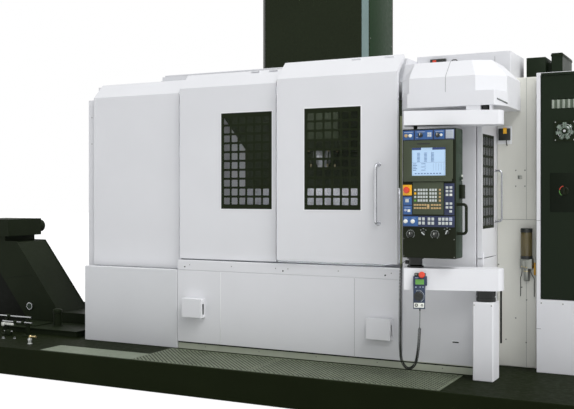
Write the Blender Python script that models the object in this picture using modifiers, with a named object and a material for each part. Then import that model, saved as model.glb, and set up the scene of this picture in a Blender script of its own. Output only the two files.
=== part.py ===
"""Vertical machining center: enclosure with two telescoping doors, column cover, swing-arm operator
pendant, electrical cabinet, chip conveyor and platform.

Metres, +Z up, +X to the operator's right, +Y towards the back. The origin is on the floor under the
front panels, at the middle of the enclosure's width.
"""
import bmesh
import bpy
from math import atan2, cos, pi, radians, sin, sqrt, tan
from mathutils import Matrix, Vector

GAP = 0.0003            # left between pieces that touch
SHEET = 0.04            # depth of a folded sheet-metal panel
PANEL_JOINT = 0.004     # shadow joint between neighbouring panels
CUT_PAST = 0.05         # how far a cutter runs past the face it opens
ROOT = 0.02             # how far a joined solid reaches into the one that carries it

# Platform and deck
PLATFORM_LEFT, PLATFORM_RIGHT = -4.28, 3.10
PLATFORM_FRONT, PLATFORM_BACK = -0.74, 3.30
PLATFORM_HEIGHT = 0.27
PLATFORM_EDGE = 0.006
DECK_PLATE = 0.0045
TREAD_LEFT, TREAD_RIGHT = -0.953, 2.00
TREAD_DEPTH = 0.66
SERVICE_PLATE_LEFT = -2.05
SERVICE_PLATE_RIGHT = TREAD_LEFT - PANEL_JOINT
SERVICE_PLATE_DEPTH = 0.30
PLATE_EDGE = 0.03       # platform rim left in front of the plates
FLOOR = PLATFORM_HEIGHT + GAP

# Enclosure
ENCLOSURE_LEFT, ENCLOSURE_RIGHT = -2.15, 2.14
ENCLOSURE_BACK = 3.10
ROOF_TOP = 2.96
POST_WIDTH = 0.116      # left corner post
POST_TOP = 2.806
POST_DEPTH = 0.20

# Doors, from left to right
DOOR_LEFT_FRONT = 0.04
DOOR_LEFT_SPAN = (-0.914, 0.170)
DOOR_LEFT_HEIGHTS = (1.163, 2.855)
DOOR_LEFT_SLOPE = 0.15
DOOR_RIGHT_FRONT = -0.03
DOOR_RIGHT_SPAN = (0.216, 1.408)
DOOR_RIGHT_HEIGHTS = (1.186, 2.878)
DOOR_RIGHT_SLOPE = 0.175
WINDOW_WIDTH, WINDOW_HEIGHT = 0.56, 0.93
WINDOW_BOTTOM = 1.659
WINDOW_LEFT_INSET = 0.322      # from the left door's right edge to its window's middle
WINDOW_RIGHT_INSET = 0.625
PANE = 0.012                   # thickness of a window
PANE_LAP = 0.02                # how far a window laps behind its opening's edge
PANE_RECESS = 0.002

# Lower front
LOWER_FRONT = 0.0
LOWER_TOP = 1.05
LEFT_PANEL_LEFT, LEFT_PANEL_RIGHT = -2.084, -0.920
LOWER_BOTTOM = 0.34
LOWER_PANEL_DEPTH = 0.06
PANEL_EDGE = 0.004
KICK_FRONT = 0.02
KICK_DEPTH = 0.05
SEAM_PAST_DOOR = 0.018
CENTRE_SEAM = DOOR_RIGHT_SPAN[1] + SEAM_PAST_DOOR      # where the door bay ends
RAIL_TOP = 1.150
RAIL_DEPTH = 0.05

# Small covers on the lower panels: left edge and underside
LEFT_COVER, RIGHT_COVER = (-0.816, 0.596), (1.130, 0.520)
COVER_WIDTH, COVER_HEIGHT, COVER_DEPTH = 0.226, 0.184, 0.075
COVER_WALL = 0.004
COVER_EDGE = 0.002
COVER_SLOT_MARGINS = (0.03, 0.05)      # under and over the outlet slot
COVER_SLOT_SETBACK = 0.02

# Fixed upper left panel
FIXED_FRONT = 0.10
FIXED_LEFT, FIXED_RIGHT = -2.048, -0.96
FIXED_TOP = 2.823
FIXED_SLOPE = 0.15
POST_FRONT = FIXED_FRONT + SHEET + GAP

# Roof, with a hatch and the track of the doors on its front edge
HATCH_LEFT, HATCH_RIGHT = -1.33, 1.36
HATCH_FRONT, HATCH_BACK = 0.38, 0.90
HATCH_TOP = 3.052
ROOF_FRONT = 0.31
HEADER_HEIGHT = 0.13           # of the fascia that hangs from the roof's front edge
TRACK_LOW_STEP, TRACK_HIGH_STEP = 2.988, 3.028
TRACK_STEP_DEPTH = 0.022
TRACK_CLEARANCE = 0.006        # between the left door's hangers and the track's high step
HANGER_THICKNESS = 0.011
HANGER_LENGTH = 0.09
HANGER_ROOT = 0.03             # how far under the door's leaning top a hanger starts
DOOR_LEFT_HANGERS = (0.29, 0.09)       # from the door's right edge
DOOR_RIGHT_HANGERS = (0.448, 0.128)

# Door handle
HANDLE_INSET = 0.176           # from the door's right edge
HANDLE_HEIGHTS = (1.545, 2.062)
HANDLE_RADIUS = 0.014
HANDLE_STANDOFF = 0.07
HANDLE_BEND = 0.03
FOOT_SHARE = 1.6               # radius of a handle's foot against its tube's
FOOT_THICKNESS = 0.006

# Column cover over the roof
TOWER_LEFT, TOWER_RIGHT = -0.644, 0.612
TOWER_FRONT, TOWER_BACK = 1.23, 2.01
TOWER_TOP = 4.30
TOWER_CHAMFER = 0.064

# Column, spindle head and nose under it
SPINDLE_Y = 1.507
HEAD_WIDTH = 0.62
HEAD_FRONT, HEAD_BACK = 1.20, 1.859
HEAD_BOTTOM = 2.28
HEAD_CHAMFER = 0.10
NOSE_RADIUS = 0.11
NOSE_BOTTOM = 2.09
NOSE_FLANGE = 0.03
NOSE_TIP_SHARE = 0.55
COLUMN_FRONT = HEAD_BACK + GAP
COLUMN_DEPTH = 0.60
COLUMN_HALF = 1.17             # half its width below the shoulders
COLUMN_SHOULDER = 2.32
COLUMN_SPREAD = 0.39           # how far each shoulder leans out on the way up

# Bed, table and way cover inside
BED_TOP = 0.92
BED_INSET = 0.12
TABLE_LENGTH, TABLE_DEPTH, TABLE_THICKNESS = 2.30, 1.00, 0.22
TABLE_FRONT = 0.32
WAY_COVER_TOP = 1.87
WAY_COVER_LENGTH = 2.36
WAY_COVER_FRONT = 1.62
WAY_COVER_LEAN = 0.22
WAY_COVER_PLATES = 6
WAY_COVER_STEP = 0.012

# Hood over the pendant arm
HOOD_LEFT, HOOD_RIGHT = CENTRE_SEAM + PANEL_JOINT, 2.351
HOOD_LEDGE_FRONT = -0.148
HOOD_UPPER_FRONT = -0.10
HOOD_BOTTOM, HOOD_LEDGE_TOP, HOOD_SHOULDER, HOOD_TOP = 2.537, 2.660, 2.795, 2.945
HOOD_SLANT = 0.110             # width of the slanted strip at its left end
HOOD_FACE_LEFT = HOOD_LEFT + HOOD_SLANT
LEDGE_CORNER = 2.287
UPPER_CORNER = 2.119
HOOD_BODY_STEP = 0.004         # how far the body stands in from the ledge at the right side
HOOD_CORNER_Y = 0.055          # where the slanted front right corner meets the side
HOOD_BLOCKS = ((-0.160, -0.037), (0.037, 0.052))       # bearing blocks, from the arm's axis
HOOD_BLOCK_DEPTH = 0.068
ROOF_RIGHT = HOOD_LEFT - GAP

# Right end: side wall, side door and rear housing
RIGHT_PANEL_FRONT = 0.03
SIDE_DOOR_FRONT, SIDE_DOOR_BACK = 0.030, 0.505
SIDE_DOOR_GAP = 0.010          # between the side door's front edge and the right front panel
DOOR_CLEARANCE = 0.008
SIDE_HINGE = (ENCLOSURE_RIGHT + 0.006, 0.045)
KNUCKLE_LENGTH = 0.055
SIDE_DOOR_BOTTOM, SIDE_DOOR_TOP = 1.260, 2.420
SIDE_WINDOW_MARGINS = (0.028, 0.069)   # door front edge to window, and window to back edge
SIDE_WINDOW_SPAN = (SIDE_DOOR_FRONT + SIDE_WINDOW_MARGINS[0], SIDE_DOOR_BACK - SIDE_WINDOW_MARGINS[1])
SIDE_WINDOW_HEIGHTS = (1.507, 2.315)
SIDE_HANDLE_INSET = 0.035
SIDE_HANDLE_HEIGHTS = (1.560, 2.010)
SIDE_HANDLE_RADIUS = 0.009
SIDE_HANDLE_STANDOFF = 0.062
SIDE_HINGE_RADIUS = 0.009
WALL_FRONT = 0.55
HOUSING_RIGHT = 2.487
HOUSING_TOP = 2.834
HOUSING_EDGE = 0.006
MAGAZINE_LEFT, MAGAZINE_RIGHT = HATCH_RIGHT + PANEL_JOINT, 2.241
MAGAZINE_FRONT, MAGAZINE_BACK = 0.63, 1.18
MAGAZINE_TOP = 3.093

# On the rear housing's front: the side door's interlock switch, and a lubricant reservoir over its pump
SWITCH_PLATE_SPAN, SWITCH_PLATE_HEIGHTS = (2.147, 2.273), (2.248, 2.408)
SWITCH_BODY_SPAN, SWITCH_BODY_HEIGHTS = (2.158, 2.262), (2.281, 2.387)
SWITCH_KEY_SPAN, SWITCH_KEY_HEIGHTS = (2.202, 2.234), (2.339, 2.394)
SWITCH_PLATE, SWITCH_BODY, SWITCH_KEY = 0.003, 0.028, 0.034    # how far each stands out
RESERVOIR_X = 2.412
RESERVOIR_RADIUS = 0.052
RESERVOIR_HEIGHTS = (1.246, 1.503)
RESERVOIR_STANDOFF = 0.004
RESERVOIR_BAND = 0.006
PUMP_WIDTH, PUMP_DEPTH = 0.105, 0.085
PUMP_BOTTOM = 1.135
PUMP_MOTOR_RADIUS = 0.026
PUMP_MOTOR_BOTTOM = 1.042

# Electrical cabinet
CABINET_LEFT, CABINET_RIGHT = 2.520, 2.992
CABINET_FRONT, CABINET_BACK = 0.38, 2.20
CABINET_TOP = 2.844
CABINET_EDGE = 0.004
CABINET_FRAME = 0.034
CABINET_DOOR_BOTTOM = 0.90
CABINET_DOOR_RECESS = 0.004
CABINET_DOOR_GAP = 0.006
CABINET_DOOR_THICKNESS = 0.018
CABINET_WALL = 0.022
CABINET_HINGE_HEIGHTS = (1.10, 2.66)
CABINET_HINGE_RADIUS = 0.007
CABINET_STRAP = 0.012          # how far a hinge leaf reaches past the door's gap
FAN_SQUARE = 0.175
FAN_RADIUS = 0.080
FAN_PLATE = 0.006
FAN_RIM = 0.008
FAN_HUB_RADIUS = 0.024
FAN_SPOKES = 12
FAN_SPOKE_WIDTH = 0.003
FAN_DEPTH = 0.016
FAN_HEIGHT = 2.338
SWITCH_HEIGHT = 1.829
SWITCH_ROSE_RADIUS = 0.036
SWITCH_ROSE = 0.010
SWITCH_KNOB = (0.018, 0.030, 0.062)    # width, depth and height
VENT_HEIGHTS = (2.532, 2.613)
VENT_PITCH = 0.047
VENT_SLOTS = 5
VENT_SLOT_WIDTH = 0.030
DUCT_LEFT, DUCT_RIGHT = 2.53, 2.63
DUCT_FRONT, DUCT_BACK = 1.00, 1.50
DUCT_TOP = 3.10

# Pendant arm: both arms turn together about one vertical axis
ARM_AXIS = (2.211, -0.110)
ARM_SWING = radians(17.5)      # how far it stands out from the machine's front
ARM_REACH = 0.672
ARM_END_RADIUS = 0.145
ARM_HALF_DEPTH = 0.11
LOWER_ARM_HEIGHTS = (1.011, 1.190)
UPPER_ARM_HEIGHTS = (2.372, 2.490)
PEDESTAL_WIDTH, PEDESTAL_DEPTH, PEDESTAL_TOP = 0.170, 0.205, 0.917
PEDESTAL_EDGE = 0.008
PEDESTAL_PIVOT_RADIUS = 0.080
PIVOT_GROOVE = 0.006
UPPER_PIVOT_RADIUS = 0.032
ARM_CLEARANCE = 0.006          # between the arm's top and the hood's bearing blocks

# Operator pendant
PENDANT_PIVOT = 0.577          # along the arm from the arm's axis
PENDANT_WIDTH, PENDANT_DEPTH = 0.454, 0.200
PENDANT_BOTTOM, PENDANT_TOP = 1.2755, 2.3395
PENDANT_PIVOT_TO_LEFT = 0.080
PENDANT_EDGE = 0.008
SWIVEL_RADIUS = 0.070
SWIVEL_WAIST = 0.058
SWIVEL_FLANGE = 0.012
TOP_SWIVEL_RADIUS = 0.016
PENDANT_SKIN = 0.012
# On the pendant's face: right of its left edge and down from its top
DISPLAY = ((0.012, 0.434), (0.0945, 0.4145))
SCREEN = ((0.087, 0.375), (0.155, 0.387))
SCREEN_DEPTH = 0.004
KEYBOARD = ((0.092, 0.355), (0.438, 0.704))
KEYBOARD_SKIN = 0.008
KEY_ROWS = (0.503, 0.532, 0.5605, 0.590, 0.626, 0.652)
KEY_COLUMNS = (0.115, 0.145, 0.1675, 0.190, 0.2125, 0.245, 0.2675, 0.290, 0.325)
KEY_SIZE = 0.012
KEY_HEIGHT = 0.002
STOP_PLATE = ((0.006, 0.084), (0.4605, 0.5475))
STOP_CENTRE = (0.047, 0.5045)
STOP_PLATE_SKIN = 0.006
STOP_PROFILE = ((0.015, 0.000), (0.015, 0.022), (0.026, 0.024), (0.0275, 0.032), (0.023, 0.040),
                (0.012, 0.0435))
KNOBS = ((0.072, 0.868), (0.182, 0.856), (0.280, 0.868), (0.384, 0.846))
KNOB_PROFILE = ((0.013, 0.000), (0.013, 0.020), (0.010, 0.024))
PENDANT_HANDLE_BACK = 0.165    # from the pendant's back to the handle
PENDANT_HANDLE_HEIGHTS = (1.482, 1.719)
PENDANT_HANDLE_RADIUS = 0.012
PENDANT_HANDLE_STANDOFF = 0.078
PENDANT_HANDLE_BEND = 0.026

# Handwheel unit on the lower arm and its curly cord
UNIT_ALONG_ARM = 0.530
UNIT_DEPTH = 0.045
UNIT_SPAN, UNIT_LOWER_SPAN = (-0.062, 0.051), (-0.062, 0.035)      # from its middle, along the arm
UNIT_BOTTOM, UNIT_SHOULDER, UNIT_TOP = 0.861, 1.052, 1.127
UNIT_HEAD_SPAN, UNIT_HEAD_TOP = (-0.052, 0.040), 1.154
UNIT_HEAD_INSET = 0.008
UNIT_WHEEL, UNIT_STOP = (-0.019, 0.966), (0.008, 1.143)
UNIT_WHEEL_PROFILE = ((0.036, 0.010), (0.036, 0.036), (0.032, 0.040), (0.012, 0.040), (0.012, 0.036))
UNIT_STOP_PROFILE = ((0.012, 0.006), (0.012, 0.030), (0.025, 0.032), (0.026, 0.040), (0.020, 0.047))
CORD_RADIUS = 0.013
CORD_ROUTE = [(1.5747, -0.283, 1.232), (1.568, -0.283, 1.232), (1.558, -0.284, 1.231), (1.539, -0.287, 1.205),
              (1.533, -0.292, 1.120),
              (1.531, -0.297, 0.980), (1.532, -0.303, 0.740), (1.536, -0.312, 0.520), (1.560, -0.330, 0.400),
              (1.622, -0.352, 0.352), (1.688, -0.372, 0.400), (1.718, -0.385, 0.520), (1.732, -0.392, 0.680),
              (1.737, -0.394, 0.800), (1.737, -0.394, 0.8605)]
CORD_POINTS = 60
GLAND_RADIUS = 0.017

# Chip conveyor at the left end
CONVEYOR_FRONT, CONVEYOR_BACK = 0.55, 1.05
CONVEYOR_LEVEL_TOP = 0.446
CONVEYOR_FOOT_X = -2.923       # where the climb starts
CONVEYOR_SLOPE = radians(51)
CONVEYOR_CLIMB_TOP = 1.245
CONVEYOR_SIDE_DEPTH = 0.44     # square to the climb
CONVEYOR_UNDERSIDE = 0.04      # over the platform
CONVEYOR_RIM = 0.012           # how far the side plates stand over the cover
CONVEYOR_PLATE = 0.006
CONVEYOR_NECK = (-4.02, -3.750)
CONVEYOR_HEAD = (-4.25, -3.670)
CONVEYOR_HEAD_HEIGHTS = (1.304, 1.504)
CONVEYOR_HEAD_PROUD = 0.03     # past the trough at front and back
CONVEYOR_CHUTE_WIDTH, CONVEYOR_CHUTE_DROP = 0.17, 0.16
CONVEYOR_MOTOR_RADIUS, CONVEYOR_MOTOR_LENGTH = 0.075, 0.24
CONVEYOR_MOTOR_FLANGE = 0.012
MOTOR_COWL_SHARE = 0.85
CONVEYOR_LEG = (-2.60, -2.40)
CONVEYOR_LEG_INSET = 0.05

# Coolant tank beside the conveyor
TANK_LEFT = -3.30
TANK_FRONT, TANK_BACK = 0.06, 0.515
TANK_TO_ENCLOSURE = 0.10
TANK_TOP = 0.333
TANK_LID = 0.006
TANK_LID_PROUD = 0.008
TANK_HATCH = ((-3.18, -2.90), (0.14, 0.42))
TANK_HATCH_HEIGHT = 0.012
TANK_PUMP = (-2.72, 0.30)
TANK_PUMP_PROFILE = ((0.062, 0.000), (0.062, 0.012), (0.045, 0.014), (0.045, 0.150), (0.052, 0.155),
                     (0.052, 0.185), (0.030, 0.200))


def collection(name):
    made = bpy.data.collections.new(name)
    bpy.context.scene.collection.children.link(made)
    return made


for old in list(bpy.data.objects):
    bpy.data.objects.remove(old, do_unlink=True)

PARTS = collection("vertical_machining_center")
CUTTERS = collection("cutters")


def material(name, colour, roughness, metallic=0.0):
    made = bpy.data.materials.new(name)
    made.use_nodes = True
    shader = made.node_tree.nodes["Principled BSDF"]
    shader.inputs["Base Color"].default_value = (*colour, 1.0)
    shader.inputs["Roughness"].default_value = roughness
    shader.inputs["Metallic"].default_value = metallic
    return made


WHITE_PAINT = material("white_paint", (0.80, 0.80, 0.82), 0.45)
BEIGE_PAINT = material("beige_paint", (0.60, 0.60, 0.56), 0.5)
BLACK_PAINT = material("black_paint", (0.02, 0.026, 0.018), 0.4)
GREEN_BLACK_PAINT = material("cabinet_paint", (0.035, 0.05, 0.04), 0.4)
DARK_STEEL = material("dark_steel", (0.03, 0.04, 0.03), 0.45, 0.3)
TREAD_STEEL = material("tread_steel", (0.06, 0.07, 0.05), 0.45, 0.6)
STAINLESS = material("stainless", (0.62, 0.63, 0.64), 0.25, 1.0)
BRIGHT_STEEL = material("bright_steel", (0.55, 0.56, 0.57), 0.3, 1.0)
CAST_IRON = material("cast_iron", (0.30, 0.31, 0.32), 0.45, 0.6)
SMOKED_PANE = material("smoked_pane", (0.05, 0.06, 0.05), 0.1)
RUBBER = material("rubber", (0.02, 0.02, 0.02), 0.7)
PENDANT_BLACK = material("pendant_black", (0.025, 0.035, 0.03), 0.45)
KEY_BLUE = material("key_blue", (0.05, 0.12, 0.32), 0.5)
KEY_GREY = material("key_grey", (0.55, 0.57, 0.58), 0.5)
SIGNAL_YELLOW = material("signal_yellow", (0.85, 0.62, 0.05), 0.5)


def place(obj, name, paint, where=PARTS):
    """Name an object, give it its paint and move it into its collection."""
    obj.name = name
    obj.data.name = name
    for owner in list(obj.users_collection):
        owner.objects.unlink(obj)
    where.objects.link(obj)
    obj.data.materials.clear()
    if paint:
        obj.data.materials.append(paint)
    return obj


def as_cutter(obj):
    for owner in list(obj.users_collection):
        owner.objects.unlink(obj)
    CUTTERS.objects.link(obj)
    obj.hide_render = True
    obj.display_type = "WIRE"
    return obj


def box(name, low, high, paint, bevel=0.0, segments=1):
    """An upright box between two corners."""
    low, high = Vector(low), Vector(high)
    bpy.ops.mesh.primitive_cube_add(size=1.0, location=(low + high) / 2)
    obj = bpy.context.object
    obj.scale = high - low
    bpy.ops.object.transform_apply(location=False, rotation=False, scale=True)
    if bevel:
        rounding = obj.modifiers.new("edges", "BEVEL")
        rounding.width = bevel
        rounding.segments = segments
        rounding.limit_method = "ANGLE"
    return place(obj, name, paint)


def cylinder(name, centre, radius, length, paint, axis="Z", sides=32):
    """A round bar or disc about its centre, along X, Y or Z."""
    turn = {"X": (0, pi / 2, 0), "Y": (pi / 2, 0, 0), "Z": (0, 0, 0)}[axis]
    bpy.ops.mesh.primitive_cylinder_add(vertices=sides, radius=radius, depth=length, location=centre,
                                        rotation=turn)
    obj = bpy.context.object
    obj.data.shade_smooth()
    obj.data.set_sharp_from_angle(angle=radians(40))
    return place(obj, name, paint)


def cut(obj, cutter, operation="DIFFERENCE"):
    as_cutter(cutter)
    step = obj.modifiers.new(cutter.name, "BOOLEAN")
    step.operation = operation
    step.object = cutter
    step.solver = "EXACT"
    return obj


def join(obj, *others):
    for other in others:
        cut(obj, other, "UNION")
    return obj


def flat_piece(name, outline, low, high, paint, plane="XY"):
    """An outline filled and extruded between two levels of the axis square to its plane."""
    curve = bpy.data.curves.new(name, "CURVE")
    curve.dimensions = "2D"
    curve.fill_mode = "BOTH"
    curve.extrude = (high - low) / 2
    spline = curve.splines.new("POLY")
    spline.points.add(len(outline) - 1)
    for point, (across, up) in zip(spline.points, outline):
        point.co = (across, up, 0.0, 1.0)
    spline.use_cyclic_u = True
    obj = bpy.data.objects.new(name, curve)
    bpy.context.scene.collection.objects.link(obj)
    middle = (low + high) / 2
    if plane == "XY":
        obj.matrix_world = Matrix.Translation((0, 0, middle))
    elif plane == "XZ":
        obj.matrix_world = Matrix.Translation((0, middle, 0)) @ Matrix.Rotation(pi / 2, 4, "X")
    else:
        turn = Matrix(((0, 0, 1, 0), (1, 0, 0, 0), (0, 1, 0, 0), (0, 0, 0, 1)))
        obj.matrix_world = Matrix.Translation((middle, 0, 0)) @ turn
    return to_mesh(obj, name, paint)


def to_mesh(curve_object, name, paint):
    """The closed mesh of a curve, with its caps welded on."""
    bpy.context.view_layer.update()
    graph = bpy.context.evaluated_depsgraph_get()
    mesh = bpy.data.meshes.new_from_object(curve_object.evaluated_get(graph))
    welded = bmesh.new()
    welded.from_mesh(mesh)
    bmesh.ops.remove_doubles(welded, verts=welded.verts, dist=0.00001)
    welded.to_mesh(mesh)
    welded.free()
    obj = bpy.data.objects.new(name, mesh)
    obj.matrix_world = curve_object.matrix_world.copy()
    bpy.data.objects.remove(curve_object, do_unlink=True)
    bpy.context.scene.collection.objects.link(obj)
    return place(obj, name, paint)


def tube(name, points, radius, paint, resolution=3):
    """A round bar along a line of points."""
    curve = bpy.data.curves.new(name, "CURVE")
    curve.dimensions = "3D"
    curve.bevel_depth = radius
    curve.bevel_resolution = resolution
    curve.use_fill_caps = True
    spline = curve.splines.new("POLY")
    spline.points.add(len(points) - 1)
    for point, spot in zip(spline.points, points):
        point.co = (*spot, 1.0)
    obj = bpy.data.objects.new(name, curve)
    bpy.context.scene.collection.objects.link(obj)
    mesh_object = to_mesh(obj, name, paint)
    mesh_object.data.shade_smooth()
    mesh_object.data.set_sharp_from_angle(angle=radians(40))
    return mesh_object


def bow(start, end, out, bend, steps=5):
    """Points of a pull handle: out from start, round a bend, along, and back in to end."""
    start, end, out = Vector(start), Vector(end), Vector(out)
    along = (end - start).normalized()
    away = out.normalized()
    points = [start]
    for step in range(steps + 1):
        turn = pi / 2 * step / steps
        points.append(start + out + (along - away) * bend + away * bend * sin(turn) - along * bend * cos(turn))
    for step in range(steps + 1):
        turn = pi / 2 * step / steps
        points.append(end + out - (along + away) * bend + away * bend * cos(turn) + along * bend * sin(turn))
    points.append(end)
    return points


def smooth_line(points, count):
    """Points evenly spaced by parameter on a Catmull-Rom curve through the given points."""
    spots = [Vector(p) for p in points]
    spots = [2 * spots[0] - spots[1]] + spots + [2 * spots[-1] - spots[-2]]
    spans = len(points) - 1
    line = []
    for index in range(count):
        reach = index / (count - 1) * spans
        span = min(int(reach), spans - 1)
        t = reach - span
        a, b, c, d = spots[span:span + 4]
        line.append(0.5 * (2 * b + (c - a) * t + (2 * a - 5 * b + 4 * c - d) * t * t
                           + (3 * b - a - 3 * c + d) * t ** 3))
    return line


def linked(shape, name):
    """A new object with the mesh of a bmesh."""
    mesh = bpy.data.meshes.new(name)
    shape.to_mesh(mesh)
    shape.free()
    obj = bpy.data.objects.new(name, mesh)
    bpy.context.scene.collection.objects.link(obj)
    return obj


def boxes(name, corners):
    """Upright boxes that don't touch, in one object, to cut or join at once."""
    shape = bmesh.new()
    for low, high in corners:
        low, high = Vector(low), Vector(high)
        made = bmesh.ops.create_cube(shape, size=1.0)["verts"]
        size = Matrix.Diagonal((*(high - low), 1.0))
        bmesh.ops.transform(shape, matrix=Matrix.Translation((low + high) / 2) @ size, verts=made)
    return place(linked(shape, name), name, None)


def turned(name, profile, base, paint, axis="Z", sides=32):
    """A lathe shape: (radius, height) from its base along the axis, where Y means towards the front."""
    points = [(0.0, profile[0][1]), *profile, (0.0, profile[-1][1])]
    outline = bmesh.new()
    verts = [outline.verts.new((radius, 0.0, height)) for radius, height in reversed(points)]
    for pair in zip(verts, verts[1:]):
        outline.edges.new(pair)
    obj = linked(outline, name)
    turn = {"X": Matrix.Rotation(pi / 2, 4, "Y"), "Y": Matrix.Rotation(pi / 2, 4, "X"), "Z": Matrix.Identity(4)}
    obj.matrix_world = Matrix.Translation(base) @ turn[axis]
    spin = obj.modifiers.new("turn", "SCREW")
    spin.steps = spin.render_steps = sides
    spin.use_merge_vertices = True
    spin.merge_threshold = 0.0001
    solid = to_mesh(obj, name, paint)
    solid.data.shade_smooth()
    solid.data.set_sharp_from_angle(angle=radians(40))
    return solid


def ride(name, spot, pieces, carrier=None):
    """Parent pieces, and the cutters of each, to an empty on the axis that they move about or along."""
    pivot = bpy.data.objects.new(name, None)
    pivot.empty_display_type = "SINGLE_ARROW"
    pivot.empty_display_size = 0.2
    PARTS.objects.link(pivot)
    pivot.matrix_world = Matrix.Translation(spot)
    if carrier:
        pivot.parent = carrier
        pivot.matrix_parent_inverse = carrier.matrix_world.inverted()
    todo = [bpy.data.objects[piece] for piece in pieces]
    while todo:
        obj = todo.pop()
        obj.parent = pivot
        obj.matrix_parent_inverse = Matrix.Translation(spot).inverted()
        todo += [step.object for step in obj.modifiers if step.type == "BOOLEAN"]
    return pivot


def on_face(left, rectangle, seat, skin):
    """The two corners of a box on the pendant's face, from its rectangle right of the left edge and down."""
    (near, far), (upper, lower) = rectangle
    return (left + near, seat - skin, PENDANT_TOP - lower), (left + far, seat, PENDANT_TOP - upper)


def sloped_sheet(name, span, front, bottom, top, slope, paint, thickness=SHEET):
    """A panel that stands upright and leans back at 45 degrees over its top edge."""
    left, right = span
    profile = [(front, bottom), (front, top), (front + slope, top + slope)]
    sheet = bmesh.new()
    verts = [sheet.verts.new((left, y, z)) for y, z in profile]
    edges = [sheet.edges.new(pair) for pair in zip(verts, verts[1:])]
    swept = bmesh.ops.extrude_edge_only(sheet, edges=edges)["geom"]
    moved = [item for item in swept if isinstance(item, bmesh.types.BMVert)]
    bmesh.ops.translate(sheet, verts=moved, vec=(right - left, 0, 0))
    bmesh.ops.recalc_face_normals(sheet, faces=sheet.faces)
    if sheet.faces[0].normal.y > 0:
        bmesh.ops.reverse_faces(sheet, faces=sheet.faces)
    obj = linked(sheet, name)
    depth = obj.modifiers.new("depth", "SOLIDIFY")
    depth.thickness = thickness
    depth.offset = -1.0
    depth.use_even_offset = True
    return place(obj, name, paint)


def platform():
    box("platform", (PLATFORM_LEFT, PLATFORM_FRONT, 0), (PLATFORM_RIGHT, PLATFORM_BACK, PLATFORM_HEIGHT),
        BLACK_PAINT, bevel=PLATFORM_EDGE)
    high = FLOOR + DECK_PLATE
    front = PLATFORM_FRONT + PLATE_EDGE
    box("tread_plate", (TREAD_LEFT, front, FLOOR), (TREAD_RIGHT, front + TREAD_DEPTH, high), TREAD_STEEL)
    box("service_plate", (SERVICE_PLATE_LEFT, front, FLOOR),
        (SERVICE_PLATE_RIGHT, front + SERVICE_PLATE_DEPTH, high), TREAD_STEEL)


def lower_front():
    back = LOWER_FRONT + LOWER_PANEL_DEPTH
    box("lower_left_panel", (LEFT_PANEL_LEFT, LOWER_FRONT, FLOOR), (LEFT_PANEL_RIGHT, back, LOWER_TOP),
        WHITE_PAINT, bevel=PANEL_EDGE)
    left = LEFT_PANEL_RIGHT + PANEL_JOINT
    box("kick_strip", (left, KICK_FRONT, FLOOR), (ENCLOSURE_RIGHT, KICK_FRONT + KICK_DEPTH, LOWER_BOTTOM - GAP),
        BEIGE_PAINT)
    box("lower_centre_panel", (left, LOWER_FRONT, LOWER_BOTTOM), (CENTRE_SEAM, back, LOWER_TOP), WHITE_PAINT,
        bevel=PANEL_EDGE)
    box("door_rail", (left, LOWER_FRONT, LOWER_TOP + GAP), (CENTRE_SEAM, LOWER_FRONT + RAIL_DEPTH, RAIL_TOP),
        WHITE_PAINT, bevel=PANEL_EDGE)


def cover_box(name, left, bottom):
    """A small open-bottomed cover on the lower panels, with its outlet slot in the right side."""
    back = LOWER_FRONT - GAP
    front = back - COVER_DEPTH
    right, top = left + COVER_WIDTH, bottom + COVER_HEIGHT
    cover = box(name, (left, front, bottom), (right, back, top), WHITE_PAINT, bevel=COVER_EDGE)
    hollow = box(name + "_hollow", (left + COVER_WALL, front + COVER_WALL, bottom - CUT_PAST),
                 (right - COVER_WALL, back + CUT_PAST, top - COVER_WALL), None)
    slot = box(name + "_slot", (right - CUT_PAST, front + COVER_SLOT_SETBACK, bottom + COVER_SLOT_MARGINS[0]),
               (right + CUT_PAST, back - COVER_SLOT_SETBACK, top - COVER_SLOT_MARGINS[1]), None)
    cut(cover, hollow)
    cut(cover, slot)


def upper_left():
    sloped_sheet("fixed_left_panel", (FIXED_LEFT, FIXED_RIGHT), FIXED_FRONT, LOWER_TOP + GAP, FIXED_TOP,
                 FIXED_SLOPE, WHITE_PAINT)
    box("left_corner_post", (ENCLOSURE_LEFT, POST_FRONT, FLOOR),
        (ENCLOSURE_LEFT + POST_WIDTH, POST_FRONT + POST_DEPTH, POST_TOP), WHITE_PAINT, bevel=PANEL_EDGE)


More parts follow.
